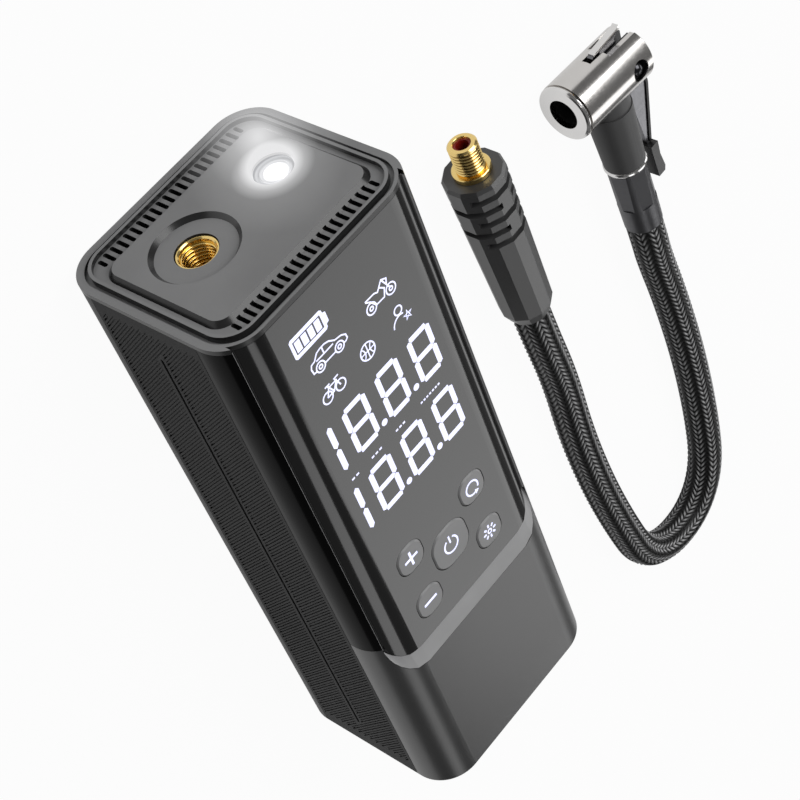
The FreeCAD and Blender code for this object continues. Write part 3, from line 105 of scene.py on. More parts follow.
def even_points(line, count):
    """The same line at equal distances along it."""
    step = np.linalg.norm(np.diff(line, axis=0), axis=1)
    line = line[np.r_[True, step > 1e-7]]
    along = np.r_[0.0, np.cumsum(np.linalg.norm(np.diff(line, axis=0), axis=1))]
    place = np.linspace(0.0, along[-1], count)
    return np.stack([np.interp(place, along, line[:, k]) for k in range(3)], 1)


def add_piece(name, points, faces, smooth=True):
    """A mesh object from vertex rows and a list or array of faces."""
    mesh = bpy.data.meshes.new(name)
    rows = faces.tolist() if isinstance(faces, np.ndarray) else faces
    mesh.from_pydata(np.asarray(points).tolist(), [], rows)
    mesh.polygons.foreach_set("use_smooth", np.full(len(mesh.polygons), smooth))
    mesh.update()
    piece = bpy.data.objects.new(name, mesh)
    bpy.context.scene.collection.objects.link(piece)
    return piece


def braid_sleeve(name, route, radius, yarns, over, lead, relief):
    """Braid of 2 x yarns flat yarns: a tube whose grid runs along both yarn directions.

    A point has yarn numbers a and b. Its angle grows with a + b and its distance along the hose
    with a - b. Where (a + b) mod 2 over is under over the first set lies on top, else the second.
    Each yarn is crowned across its width and dips where it goes under. Lead is the distance
    along the hose from one yarn to the next."""
    per_yarn = 3
    smoothing = 15
    around = yarns * per_yarn
    line = smooth_line(route)
    total = np.linalg.norm(np.diff(line, axis=0), axis=1).sum()
    rows = int(round(total / (lead / per_yarn / 2))) + 1
    centre = even_points(line, rows)
    tangent = np.gradient(centre, axis=0)
    window = np.ones(smoothing) / smoothing
    padded = np.pad(tangent, ((smoothing // 2, smoothing // 2), (0, 0)), "edge")
    tangent = np.stack([np.convolve(padded[:, k], window, "valid") for k in range(3)], 1)
    tangent /= np.linalg.norm(tangent, axis=1)[:, None]
    side = np.cross((0.0, 0.0, 1.0), tangent)
    side /= np.linalg.norm(side, axis=1)[:, None]
    rise = np.cross(tangent, side)
    row, column = np.meshgrid(np.arange(rows), np.arange(around), indexing="ij")
    turn = (2 * column + row % 2) / 2
    a = (turn + row / 2) / per_yarn
    b = (turn - row / 2) / per_yarn
    on_top = np.mod(a + b, 2.0 * over) < over
    across = np.where(on_top, a, b)
    crown = 1.0 - (2.0 * np.mod(across, 1.0) - 1.0) ** 2
    arch = np.sin(math.pi * np.mod(a + b, over) / over)
    height = relief * (crown ** 0.6 * (0.45 + 0.55 * arch ** 0.5) - 0.85)
    angle = 2 * math.pi * turn / around
    reach = radius + height
    points = centre[:, None] + side[:, None] * (reach * np.cos(angle))[..., None]
    points = points + rise[:, None] * (reach * np.sin(angle))[..., None]
    first = (row * around + column)[:-2]
    left = ((row + 1) * around + (column - 1 + row % 2) % around)[:-2]
    right = ((row + 1) * around + (column + row % 2) % around)[:-2]
    last = ((row + 2) * around + column)[:-2]
    diamonds = np.stack([first, right, last, left], -1).reshape(-1, 4)
    ring = np.arange(around)
    start_gap = np.stack([ring, (ring + 1) % around, around + ring], 1)
    base = (rows - 1) * around
    below = (rows - 2) * around
    if (rows - 1) % 2:
        end_gap = np.stack([base + ring, below + (ring + 1) % around, base + (ring + 1) % around], 1)
    else:
        end_gap = np.stack([base + ring, below + ring, base + (ring + 1) % around], 1)
    caps = [list(range(around))[::-1], list(range(base, base + around))]
    faces = diamonds.tolist() + start_gap.tolist() + end_gap.tolist() + caps
    piece = add_piece(name, points.reshape(-1, 3), faces)
    # Painted light for the material: the crowns lighter as painted sheen, the gaps dark as painted shade,
    # and a painted highlight that rises and falls along each over-under run.
    lit = 0.5 - 0.5 * np.cos(math.pi * (a + b) / over)
    shade = crown ** 1.5 * (0.5 + 0.5 * arch) * (0.3 + 0.7 * lit)
    for label, values in (("yarn_painted_light", shade), ("yarn_across", across)):
        store = piece.data.attributes.new(label, "FLOAT", "POINT")
        store.data.foreach_set("value", values.ravel().astype(np.float32))
    return piece, line


def nodes_of(name):
    """A new material with its node tree and its shader."""
    material = bpy.data.materials.new(name)
    material.use_nodes = True
    tree = material.node_tree
    return material, tree, tree.nodes["Principled BSDF"]


def maths(tree, operation, first, second=None, third=None):
    """Result of a Math node whose inputs are sockets or plain numbers."""
    node = tree.nodes.new("ShaderNodeMath")
    node.operation = operation
    for socket, value in zip(node.inputs, (first, second, third)):
        if isinstance(value, bpy.types.NodeSocket):
            tree.links.new(value, socket)
        elif value is not None:
            socket.default_value = value
    return node.outputs["Value"]


def attribute(tree, name):
    """A number stored on the mesh's own vertices."""
    node = tree.nodes.new("ShaderNodeAttribute")
    node.attribute_name = name
    return node.outputs["Fac"]


def noise(tree, scale, detail=2.0):
    """Noise on the piece's own coordinates; the scale is in features per metre."""
    place = tree.nodes.new("ShaderNodeTexCoord")
    texture = tree.nodes.new("ShaderNodeTexNoise")
    texture.inputs["Scale"].default_value = scale
    texture.inputs["Detail"].default_value = detail
    tree.links.new(place.outputs["Object"], texture.inputs["Vector"])
    return texture.outputs["Fac"]


def link_bump(tree, source, strength, distance):
    """Relief on the shader's normal, from a source of height."""
    bump = tree.nodes.new("ShaderNodeBump")
    bump.inputs["Strength"].default_value = strength
    bump.inputs["Distance"].default_value = distance
    tree.links.new(source, bump.inputs["Height"])
    tree.links.new(bump.outputs["Normal"], tree.nodes["Principled BSDF"].inputs["Normal"])


def link_range(tree, source, low, high, target):
    """Source value spread over a range from low to high, to a socket."""
    spread = tree.nodes.new("ShaderNodeMapRange")
    spread.inputs["To Min"].default_value = low
    spread.inputs["To Max"].default_value = high
    tree.links.new(source, spread.inputs["Value"])
    tree.links.new(spread.outputs["Result"], target)


def link_ramp(tree, source, stops, target):
    """Source value through a colour ramp of (place, colour) stops to a socket."""
    ramp = tree.nodes.new("ShaderNodeValToRGB")
    ramp.color_ramp.elements[0].position = stops[0][0]
    ramp.color_ramp.elements[0].color = (*stops[0][1], 1.0)
    ramp.color_ramp.elements[1].position = stops[-1][0]
    ramp.color_ramp.elements[1].color = (*stops[-1][1], 1.0)
    for place, colour in stops[1:-1]:
        ramp.color_ramp.elements.new(place).color = (*colour, 1.0)
    tree.links.new(source, ramp.inputs["Fac"])
    tree.links.new(ramp.outputs["Color"], target)
    return ramp


def grey(value):
    """Neutral colour."""
    return (value, value, value * 1.01)


def braided_nylon():
    """Dark nylon yarn with painted light: lighter on the crowns as painted sheen, near black in the
    gaps as painted shade, with fine filaments.
    """
    material, tree, shader = nodes_of("braided_nylon")
    mottled_painted_light = maths(tree, "MULTIPLY_ADD", noise(tree, 900.0), 0.25, attribute(tree, "yarn_painted_light"))
    stops = [(0.2, grey(0.001)), (0.4, grey(0.006)), (0.6, grey(0.12)), (0.8, grey(0.5))]
    link_ramp(tree, mottled_painted_light, stops, shader.inputs["Base Color"])
    filaments = 5
    turns = maths(tree, "MULTIPLY", attribute(tree, "yarn_across"), 2 * math.pi * filaments)
    link_bump(tree, maths(tree, "SINE", turns), 0.35, 0.00008)
    shader.inputs["Roughness"].default_value = 0.4
    shader.inputs["Specular IOR Level"].default_value = 0.3
    return material


air_hose, hose_line = braid_sleeve("air_hose_braid", hose_route, radius=0.0053, yarns=24, over=3,
                                   lead=0.0021, relief=0.0006)
air_hose.data.materials.append(braided_nylon())
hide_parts("air_hose")
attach(air_hose, "hose_set")

# Mouldings of the housing. The tub, its two side panels, the front of the lower body, the cap,
# the frame, the band and the keys are injection moulded plastic in dark greys.


def moulding(name, colour, roughness, grain=0.0002, relief=0.1, gloss=0.5):
    """Moulded or sprayed plastic: a slightly mottled colour, uneven gloss and a fine grain.

    Grain is the size of the grain in metres, relief its strength, and gloss the strength of the
    sheen."""
    material, tree, shader = nodes_of(name)
    cloud = noise(tree, 45.0, detail=4.0)
    low = tuple(c * 0.9 for c in colour)
    high = tuple(min(c * 1.1, 1.0) for c in colour)
    link_ramp(tree, cloud, [(0.3, low), (0.7, high)], shader.inputs["Base Color"])
    link_range(tree, cloud, roughness * 0.9, roughness * 1.12, shader.inputs["Roughness"])
    link_bump(tree, noise(tree, 1.0 / grain), relief, 0.00005)
    shader.inputs["Specular IOR Level"].default_value = gloss
    return material


def finish_node(material, *names):
    """Gives solid parts of the frame a material."""
    for name in names:
        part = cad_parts[name]
        if not part.material_slots:
            part.data.materials.append(material)
        for place in part.material_slots:
            place.material = material


finish_node(moulding("satin_back", grey(0.032), 0.4, relief=0.12, gloss=0.2), "main_shell")
finish_node(moulding("satin_front", grey(0.03), 0.3, gloss=0.8), "lower_case")
finish_node(moulding("frame_gloss", grey(0.002), 0.12, grain=0.002, relief=0.02, gloss=0.06), "front_frame")
cover_finish = moulding("tinted_cover", grey(0.004), 0.10, grain=0.003, relief=0.01, gloss=0.62)
finish_node(cover_finish, "display_cover")
band_finish = moulding("satin_band", grey(0.33), 0.5)
finish_node(band_finish, "trim_band")

# Cap. The vented end is moulded in a sparked grey with its steps left shiny and painted dark as
# shade, and a painted glow in the cap's own material stands for the burning lamp's light on the
# plateau round its lens and on towards the back corner.


def moulding_with_painted_wall_shade(name, face, painted_wall_shade, face_roughness, wall_roughness):
    """Cap plastic with painted shade: the faces that look along the housing are sparked satin, the
    walls between them polished and painted dark as shade. The share of each comes from how far the
    surface looks along Y."""
    material = moulding(name, face, face_roughness, relief=0.12)
    tree = material.node_tree
    shader = tree.nodes["Principled BSDF"]
    coordinates = tree.nodes.new("ShaderNodeTexCoord")
    facing = tree.nodes.new("ShaderNodeSeparateXYZ")
    tree.links.new(coordinates.outputs["Normal"], facing.inputs["Vector"])
    wall_below = 0.82
    face_above = 0.97
    share = tree.nodes.new("ShaderNodeMapRange")
    share.inputs["From Min"].default_value = wall_below
    share.inputs["From Max"].default_value = face_above
    tree.links.new(maths(tree, "ABSOLUTE", facing.outputs["Y"]), share.inputs["Value"])
    # The walls' dark colour is painted shade.
    for socket, low in (("Base Color", painted_wall_shade), ("Roughness", wall_roughness)):
        source = shader.inputs[socket].links[0].from_socket
        mix = tree.nodes.new("ShaderNodeMix")
        if socket == "Base Color":
            mix.data_type = "RGBA"
            mix.inputs[6].default_value = (*low, 1.0)
            tree.links.new(source, mix.inputs[7])
            result = mix.outputs[2]
        else:
            mix.inputs[2].default_value = low
            tree.links.new(source, mix.inputs[3])
            result = mix.outputs[0]
        tree.links.new(share.outputs["Result"], mix.inputs[0])
        tree.links.new(result, shader.inputs[socket])
    return material


def fall_from(tree, middle, scale, tilt=0.0):
    """One at a middle (x, y, z), falling evenly to nothing at the scale's distances along the
    three axes, which are first turned about Y by the tilt in degrees."""
    place = tree.nodes.new("ShaderNodeTexCoord")
    centre = tree.nodes.new("ShaderNodeMapping")
    centre.vector_type = "TEXTURE"
    centre.inputs["Location"].default_value = middle
    centre.inputs["Rotation"].default_value = (0.0, math.radians(tilt), 0.0)
    centre.inputs["Scale"].default_value = scale
    tree.links.new(place.outputs["Object"], centre.inputs["Vector"])
    fall = tree.nodes.new("ShaderNodeTexGradient")
    fall.gradient_type = "SPHERICAL"
    tree.links.new(centre.outputs["Vector"], fall.inputs["Vector"])
    return fall.outputs["Fac"]


cap_finish_and_painted_light = moulding_with_painted_wall_shade("cap_finish_and_painted_light", grey(0.24), grey(0.02), 0.36, 0.25)
cap_tree = cap_finish_and_painted_light.node_tree
cap_shader = cap_tree.nodes["Principled BSDF"]
# Painted light: an emission glow in the cap's own material, falling off round the lens and stretched
# towards the back corner, stands for the lamp's light on the plateau.
lens_low, lens_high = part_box("lamp_lens")
lamp_middle = ((lens_low.x + lens_high.x) / 2, lens_high.y, (lens_low.z + lens_high.z) / 2)
beam_middle = (lamp_middle[0] + 0.006, lamp_middle[1], lamp_middle[2] - 0.010)
halo_reach = 0.0095
beam_reach = 0.019
near = fall_from(cap_tree, lamp_middle, (halo_reach, 0.03, halo_reach))
far = fall_from(cap_tree, beam_middle, (1.7 * beam_reach, 0.03, beam_reach), tilt=58.0)
painted_glow_stops = [(0.0, grey(0.0)), (0.35, grey(0.08)), (0.7, grey(0.35)), (1.0, grey(0.8))]
link_ramp(cap_tree, maths(cap_tree, "ADD", near, far), painted_glow_stops, cap_shader.inputs["Emission Color"])
cap_shader.inputs["Emission Strength"].default_value = 0.8
finish_node(cap_finish_and_painted_light, "top_cap")

# Side panels. Softer plastic plates let into both sides, moulded with slanting grooves that
# start in a small pit, and a long line down the middle.


def grid_faces(rows, columns, rows_close=False, columns_close=True):
    """Four-cornered faces of a grid of points kept row by row. Where a way round closes, its
    last points join its first. The corners run from a point to the next row and back."""
    row, column = np.meshgrid(np.arange(rows if rows_close else rows - 1),
                              np.arange(columns if columns_close else columns - 1), indexing="ij")
    here = row * columns
    below = (row + 1) % rows * columns
    beside = (column + 1) % columns
    return np.stack([here + column, below + column, below + beside, here + beside], -1).reshape(-1, 4)


def ribbed_panel(name, low, high, side):
    """Closed plate whose outer face is a height field on a slanting grid.

    One grid parameter is the height z, the other is q = y minus the rise in z, so that a
    groove is a line of constant q. Depth is two fine troughs per pitch between their two ends,
    a pit at the start of the first one, and the middle line."""
    pitch = 2.05
    back_edge = 10.7
    front_edge = 40.6
    groove_depth = 0.34
    pit_depth = 0.85
    spine = 25.8
    spine_strip = 1.45
    spine_half = 0.45
    spine_depth = 0.55
    y_low, y_high = low.y * 1000, high.y * 1000
    z_low, z_high = low.z * 1000, high.z * 1000
    y_first = y_low + 4.9
    y_last = y_high - 3.6
    spine_low = y_low + 10.0
    spine_high = y_high - 10.0
    span = front_edge - back_edge
    count = int((y_last - y_first + span) / pitch)
    middle = y_first - span + (np.arange(count) + 0.5) * pitch
    offsets = np.array([-0.70, -0.62, -0.40, -0.32, -0.10, 0.30, 0.36, 0.54, 0.60])
    trough = np.array([0.0, 1.0, 1.0, 0.0, 0.0, 0.0, 1.0, 1.0, 0.0])
    mouth = np.array([0.0, 1.0, 1.0, 1.0, 0.0, 0.0, 0.0, 0.0, 0.0])
    q_first = y_low - (z_high - back_edge) - 1
    q = np.concatenate([[q_first], (middle[:, None] + offsets).ravel(), [y_high + 2]])
    across = np.concatenate([[0.0], np.tile(trough, count), [0.0]])[None, :]
    pit_across = np.concatenate([[0.0], np.tile(mouth, count), [0.0]])[None, :]
    centre = np.concatenate([[-500.0], np.repeat(middle, len(offsets)), [500.0]])[None, :]
    levels = np.concatenate([np.arange(z_low, z_high, 0.5), [z_high],
                             spine + np.array([-0.46, -0.38, 0.38, 0.46]),
                             np.arange(back_edge, back_edge + 1.3, 0.14),
                             np.arange(spine + spine_strip, spine + spine_strip + 1.3, 0.14)])
    z = np.unique(np.round(levels, 2))
    z, q = z[:, None], q[None, :]
    start = np.maximum(back_edge, back_edge + y_first - centre)
    end = np.minimum(front_edge, back_edge + y_last - centre)
    at_spine = centre + spine - back_edge
    crossed = (at_spine > spine_low) & (at_spine < spine_high)
    open_part = np.clip((z - start) / 0.2, 0, 1) * np.clip((end - z) / 0.2, 0, 1)
    shut = crossed & (np.abs(z - spine) < spine_strip)
    open_part = np.where(shut, 0.0, open_part)
    depth = groove_depth * open_part * across
    for begin in (start, np.where(crossed, spine + spine_strip, -50.0)):
        pit = np.clip(1.6 - np.abs(z - begin - 0.42) / 0.3, 0, 1) * (end - begin > 1.0)
        depth = np.maximum(depth, pit_depth * pit * pit_across)
    y = q + z - back_edge
    in_line = (y > spine_low + spine_strip) & (y < spine_high - spine_strip)
    in_line = in_line & (np.abs(z - spine) < spine_half - 0.05)
    depth = np.where(in_line, spine_depth, depth)
    y = np.clip(y, y_low, y_high)
    outer, inner = (high.x, low.x) if side > 0 else (low.x, high.x)
    x = outer - side * depth / 1000
    points = np.stack([x + 0 * y, y / 1000, z / 1000 + 0 * y], -1)
    faces = grid_faces(*y.shape, columns_close=False)[:, [0, 3, 2, 1]]
    panel = add_piece(name, points.reshape(-1, 3), faces, smooth=False)
    shape = bmesh.new()
    shape.from_mesh(panel.data)
    bmesh.ops.remove_doubles(shape, verts=shape.verts, dist=2e-6)
    rim = [edge for edge in shape.edges if edge.is_boundary]
    walls = bmesh.ops.extrude_edge_only(shape, edges=rim)
    moved = [item for item in walls["geom"] if isinstance(item, bmesh.types.BMVert)]
    for corner in moved:
        corner.co.x = inner
    back = [item for item in walls["geom"] if isinstance(item, bmesh.types.BMEdge)]
    bmesh.ops.contextual_create(shape, geom=back)
    bmesh.ops.recalc_face_normals(shape, faces=shape.faces)
    shape.to_mesh(panel.data)
    shape.free()
    return panel


panel_finish = moulding("ribbed_panel", grey(0.036), 0.5, grain=0.00025, relief=0.3, gloss=0.1)
for panel_name, side in (("left_grip_panel", -1), ("right_grip_panel", 1)):
    panel_low, panel_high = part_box(panel_name)
    panel = ribbed_panel(panel_name.replace("grip", "ribbed"), panel_low, panel_high, side)
    panel.data.materials.append(panel_finish)
    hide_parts(panel_name)
    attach(panel, "housing")

# Side trims. The light band goes on up both sides of the cover as a narrow sloping strip of
# the same plastic, clipped between the cover's edge and the frame's.


def side_trim(name, side, y_low, y_high):
    """Four-cornered strip carried straight along Y, from the cover's edge up to the frame's."""
    section = np.array([(26.98, 49.05), (27.0, 49.75), (27.29, 50.06), (27.29, 49.0)]) / 1000
    ends = [np.c_[side * section[:, 0], np.full(4, y), section[:, 1]] for y in (y_low, y_high)]
    faces = [[0, 1, 2, 3], [7, 6, 5, 4]] + grid_faces(2, 4).tolist()
    if side > 0:
        faces = [face[::-1] for face in faces]
    return add_piece(name, np.concatenate(ends), faces, smooth=False)


trim_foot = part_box("trim_band")[1].y
trim_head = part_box("display_cover")[1].y
for trim_name, side in (("left_side_trim", -1), ("right_side_trim", 1)):
    trim = side_trim(trim_name, side, trim_foot - 0.0002, trim_head)
    trim.data.materials.append(band_finish)
    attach(trim, "housing")

# Keys. Five caps of satin plastic stand a little proud of the cover, each over its switch. The
# sign on each cap is lit white from behind.
key_finish = moulding("key_satin", grey(0.23), 0.4, relief=0.12)
finish_node(key_finish, "power_key", "plus_key", "minus_key", "mode_key", "lamp_key")


def flat_sign(name, outlines, low, high):
    """Thin flat plates: each outline (x, y rows, in mm) becomes a prism between two heights."""
    points = []
    faces = []
    for outline in outlines:
        outline = np.asarray(outline, float) / 1000.0
        ahead = np.roll(outline, -1, axis=0)
        area = np.sum(outline[:, 0] * ahead[:, 1] - ahead[:, 0] * outline[:, 1])
        if area < 0:
            outline = outline[::-1]
        count = len(outline)
        start = len(points)
        points += np.c_[outline, np.full(count, low)].tolist()
        points += np.c_[outline, np.full(count, high)].tolist()
        ring = start + np.arange(count)
        after = start + (np.arange(count) + 1) % count
        faces += np.stack([ring, after, after + count, ring + count], 1).tolist()
        faces.append((ring + count).tolist())
        faces.append(ring[::-1].tolist())
    return add_piece(name, np.array(points), faces, smooth=False)


def stroke(line, width, closed=False):
    """Outlines of a pen stroke along a line of points, one four-sided plate per run."""
    line = np.asarray(line, float)
    if closed:
        line = np.r_[line, line[:1]]
        ahead = np.r_[line[1:], line[1:2]]
        behind = np.r_[line[-2:-1], line[:-1]]
    else:
        ahead = np.r_[line[1:], line[-1:]]
        behind = np.r_[line[:1], line[:-1]]
    into = line - behind
    out = ahead - line
    into = np.where(np.abs(into).sum(1)[:, None] < 1e-9, out, into)
    out = np.where(np.abs(out).sum(1)[:, None] < 1e-9, into, out)
    into = into / np.linalg.norm(into, axis=1)[:, None]
    out = out / np.linalg.norm(out, axis=1)[:, None]
    mean = into + out
    mean = mean / np.maximum(np.linalg.norm(mean, axis=1), 0.3)[:, None]
    normal = np.c_[-mean[:, 1], mean[:, 0]]
    shrink = np.clip(np.sum(mean * out, 1), 0.5, 1.0)
    left = line + normal * (width / 2 / shrink)[:, None]
    right = line - normal * (width / 2 / shrink)[:, None]
    return [np.array([left[k], right[k], right[k + 1], left[k + 1]]) for k in range(len(line) - 1)]


def arc(centre, radius, start, end, steps=24):
    """Points on a circular arc, angles in degrees."""
    angle = np.radians(np.linspace(start, end, steps))
    return np.c_[centre[0] + radius * np.cos(angle), centre[1] + radius * np.sin(angle)]


def lit_sign(name, strength):
    """Backlit white: an even glow with a faint cloud in the colour."""
    material, tree, shader = nodes_of(name)
    stops = [(0.2, (0.66, 0.68, 0.98)), (0.8, (0.78, 0.80, 1.0))]
    ramp = link_ramp(tree, noise(tree, 300.0), stops, shader.inputs["Emission Color"])
    tree.links.new(ramp.outputs["Color"], shader.inputs["Base Color"])
    shader.inputs["Emission Strength"].default_value = strength
    shader.inputs["Roughness"].default_value = 0.5
    return material


key_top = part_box("power_key")[1].z
key_middle_y = -14.0
key_side_x = 11.4
key_rise = 8.4
plus_place = (-key_side_x, key_middle_y + key_rise)
minus_place = (-key_side_x, key_middle_y - key_rise)
mode_place = (key_side_x, key_middle_y + key_rise)
lamp_place = (key_side_x, key_middle_y - key_rise)
sign_arm = 2.2
rays = []
for index in range(8):
    angle = math.radians(45 * index)
    ray = np.array([(math.cos(angle), math.sin(angle))]) * np.array([[1.25], [sign_arm]])
    rays += stroke(ray + np.array(lamp_place), 0.55)
key_signs = {
    "power_key": stroke(arc((0.0, key_middle_y), 2.25, 118, 422, 40), 0.5)
    + stroke([(0.0, key_middle_y + 0.7), (0.0, key_middle_y + 3.0)], 0.5),
    "plus_key": stroke(np.add([(-sign_arm, 0.0), (sign_arm, 0.0)], plus_place), 0.7)
    + stroke(np.add([(0.0, 0.36), (0.0, sign_arm)], plus_place), 0.7)
    + stroke(np.add([(0.0, -0.36), (0.0, -sign_arm)], plus_place), 0.7),
    "minus_key": stroke(np.add([(-sign_arm, 0.0), (sign_arm, 0.0)], minus_place), 0.75),
    "mode_key": stroke(arc(mode_place, 2.0, -30, 292, 40), 0.5)
    + [np.add([(0.55, -2.75), (1.75, -1.95), (0.55, -1.2)], mode_place)],
    "lamp_key": rays + stroke(arc(lamp_place, 0.6, 0, 345, 24), 0.4, closed=True),
}
key_light = lit_sign("key_light", 0.75)
for key_name, outlines in key_signs.items():
    sign = flat_sign(key_name.replace("_key", "_sign"), outlines, key_top - 0.00002, key_top + 0.00003)
    sign.data.materials.append(key_light)
    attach(sign, key_name)

# Display. Two rows of seven-segment figures with their points, a battery gauge and five small
# pictures for the kinds of tyre and ball, all lit in white under the tinted cover.
cover_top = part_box("display_cover")[1].z


def seven_segments(x, y, width, height, bar):
    """Outlines of the seven bars of an eight, lower left corner at x, y."""
    gap = 0.07
    right = x + width
    top = y + height
    middle = y + height / 2
    corner = bar * 0.8
    half = bar / 2
    first = x + bar + gap
    last = right - bar - gap
    nib = 0.75 * half
    across = [
        [(x + corner, top), (right - corner, top), (last + nib, top - half - gap),
         (last, top - bar), (first, top - bar), (first - nib, top - half - gap)],
        [(first, y + bar), (last, y + bar), (last + nib, y + half + gap),
         (right - corner, y), (x + corner, y), (first - nib, y + half + gap)],
        [(x + half + gap, middle), (first, middle + half), (last, middle + half),
         (right - half - gap, middle), (last, middle - half), (first, middle - half)],
    ]
    upright = []
    for edge, side in ((x, 1), (right, -1)):
        for low, high, flip in ((middle, top, 1), (y, middle, -1)):
            far, near = (high, low) if flip > 0 else (low, high)
            upright.append([
                (edge, far - flip * corner),
                (edge + side * (corner - 0.55 * half), far - flip * (half + 0.2 * gap)),
                (edge + side * bar, far - flip * (bar + gap)),
                (edge + side * bar, near + flip * (half + gap)),
                (edge + side * (half - gap), near + flip * gap),
                (edge, near + flip * (half * 0.9)),
            ])
    return across + upright


def lone_bar(x, y, width, height):
    """Outline of one upright bar with pointed ends."""
    half = width / 2
    return [(x, y + half), (x + half, y), (x + width, y + half), (x + width, y + height - half),
            (x + half, y + height), (x, y + height - half)]


figure_width = 7.6
figure_height = 14.2
bar_width = 1.48
figures = []
for foot, shift in ((32.9, 0.0), (12.5, -0.3)):
    for rise in (7.2, 0.0):
        figures.append(lone_bar(-17.1 + shift, foot + rise, 1.55, 6.9))
    for x in (-12.2, -1.2, 9.9):
        figures += seven_segments(x + shift, foot, figure_width, figure_height, bar_width)
    for x in (-2.9, 8.2):
        figures.append(arc((x + shift, foot + 1.35), 0.9, 0, 345, 24))

gauge_corner = np.array((-16.2, 68.4))
gauge_width = 10.2
gauge_height = 5.7
gauge_rim = 1.0
gauge_side = 0.8
bevel = 0.5


def flat_plate(x_low, y_low, x_high, y_high):
    """Outline of an upright rectangle."""
    return np.array([(x_low, y_low), (x_high, y_low), (x_high, y_high), (x_low, y_high)])


foot_rail = np.array([(0.0, bevel), (bevel, 0.0), (gauge_width - bevel, 0.0), (gauge_width, bevel),
                      (gauge_width, gauge_rim), (0.0, gauge_rim)])
head_rail = np.array([0.0, gauge_height]) + foot_rail * (1, -1)
post_head = gauge_height - gauge_rim
left_post = flat_plate(0.0, gauge_rim, gauge_side, post_head)
right_post = flat_plate(gauge_width - gauge_side, gauge_rim, gauge_width, post_head)
terminal = np.array([(0.02, 1.2), (0.8, 1.5), (0.8, gauge_height - 1.5), (0.02, gauge_height - 1.2)])
gauge = [foot_rail, head_rail, left_post, right_post, terminal + (gauge_width, 0.0)]
for index in range(4):
    x = 1.15 + 2.05 * index
    gauge.append(flat_plate(x, 1.35, x + 1.6, gauge_height - 1.35))
gauge = [outline + gauge_corner for outline in gauge]

pen = 0.38


def small_wheel(x, y, radius):
    """Pen ring round a wheel's place."""
    return stroke(arc((x, y), radius, 0, 345, 24), pen, closed=True)


def small_hub(x, y):
    """Pen ring round a wheel's hub."""
    return stroke(arc((x, y), 0.5, 0, 340, 16), pen, closed=True)


car = stroke([(-12.9, 61.7), (-13.7, 61.8), (-13.9, 63.3), (-13.5, 64.2), (-12.4, 64.4),
              (-11.2, 65.7), (-10.0, 66.0), (-8.6, 66.0), (-7.4, 65.6), (-5.9, 64.4),
              (-4.0, 64.0), (-2.9, 63.2), (-2.8, 62.1), (-3.4, 61.7), (-4.0, 61.7)], pen)
car += stroke([(-10.1, 61.7), (-6.7, 61.7)], pen)
car += stroke([(-12.0, 64.0), (-6.6, 64.0)], pen)
car += stroke([(-9.5, 64.2), (-9.5, 65.8)], pen)
for x in (-11.5, -5.4):
    car += small_wheel(x, 61.9, 1.3) + small_hub(x, 61.9)
motorcycle = []
for x in (5.5, 11.9):
    motorcycle += small_wheel(x, 62.6, 1.45) + small_hub(x, 62.6)
motorcycle += stroke([(4.5, 65.4), (7.4, 65.3), (8.4, 64.8), (9.2, 65.6), (10.3, 66.7),
                      (11.7, 65.9), (11.3, 64.7)], pen)
motorcycle += stroke([(4.6, 65.2), (5.8, 64.3), (7.0, 62.3), (9.6, 62.2), (10.4, 64.2),
                      (9.2, 65.4)], pen)
motorcycle += stroke([(10.4, 66.4), (11.9, 62.9)], pen)
bicycle = []
for x in (-13.1, -8.9):
    bicycle += small_wheel(x, 53.5, 1.45)
bicycle += stroke([(-13.1, 53.5), (-12.0, 55.6), (-9.6, 55.6), (-11.0, 53.6), (-13.1, 53.5)], pen)
bicycle += stroke([(-11.0, 53.6), (-12.2, 56.2)], pen)
bicycle += stroke([(-12.9, 56.3), (-11.4, 56.3)], pen)
bicycle += stroke([(-8.9, 53.5), (-9.9, 56.3), (-8.6, 56.4)], pen)
ball_place = (0.45, 54.35)
ball = stroke(arc(ball_place, 2.2, 0, 352, 40), pen, closed=True)
for seam in ([(0.0, -2.1), (0.0, 2.1)], [(-2.1, 0.0), (2.1, 0.0)],
             arc((-2.9, 0.0), 2.1, -42, 42, 16), arc((2.9, 0.0), 2.1, 138, 222, 16)):
    ball += stroke(np.add(seam, ball_place), pen * 0.8)
person = small_wheel(11.4, 56.1, 1.15) + stroke(arc((11.2, 52.2), 2.5, 62, 172, 20), pen)
star_turns = np.radians(90 + 144 * np.arange(5))
star_points = np.c_[13.4 + 1.25 * np.cos(star_turns), 52.9 + 1.25 * np.sin(star_turns)]
person += stroke(star_points, pen * 0.7, closed=True)
unit_marks = []
for x, width in ((-16.4, 2.9), (-9.6, 3.9), (-1.2, 3.6), (7.6, 7.0)):
    count = int(width)
    for left in x + np.arange(count) * width / count:
        unit_marks += stroke([(left, 29.2), (left + 0.62 * width / count, 29.2)], 0.5)

display_light = lit_sign("display_light", 0.75)
symbols = figures + gauge + car + motorcycle + bicycle + ball + person + unit_marks
display_signs = flat_sign("display_signs", symbols, cover_top - 0.00001, cover_top + 0.00003)
display_signs.data.materials.append(display_light)
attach(display_signs, "housing")

# Metals. The outlet socket and the hose's nipple are turned brass; the chuck's barrel, its mouth
# ring and the ring on the stem are plated; the lever, pin, screws and pump parts are steel.


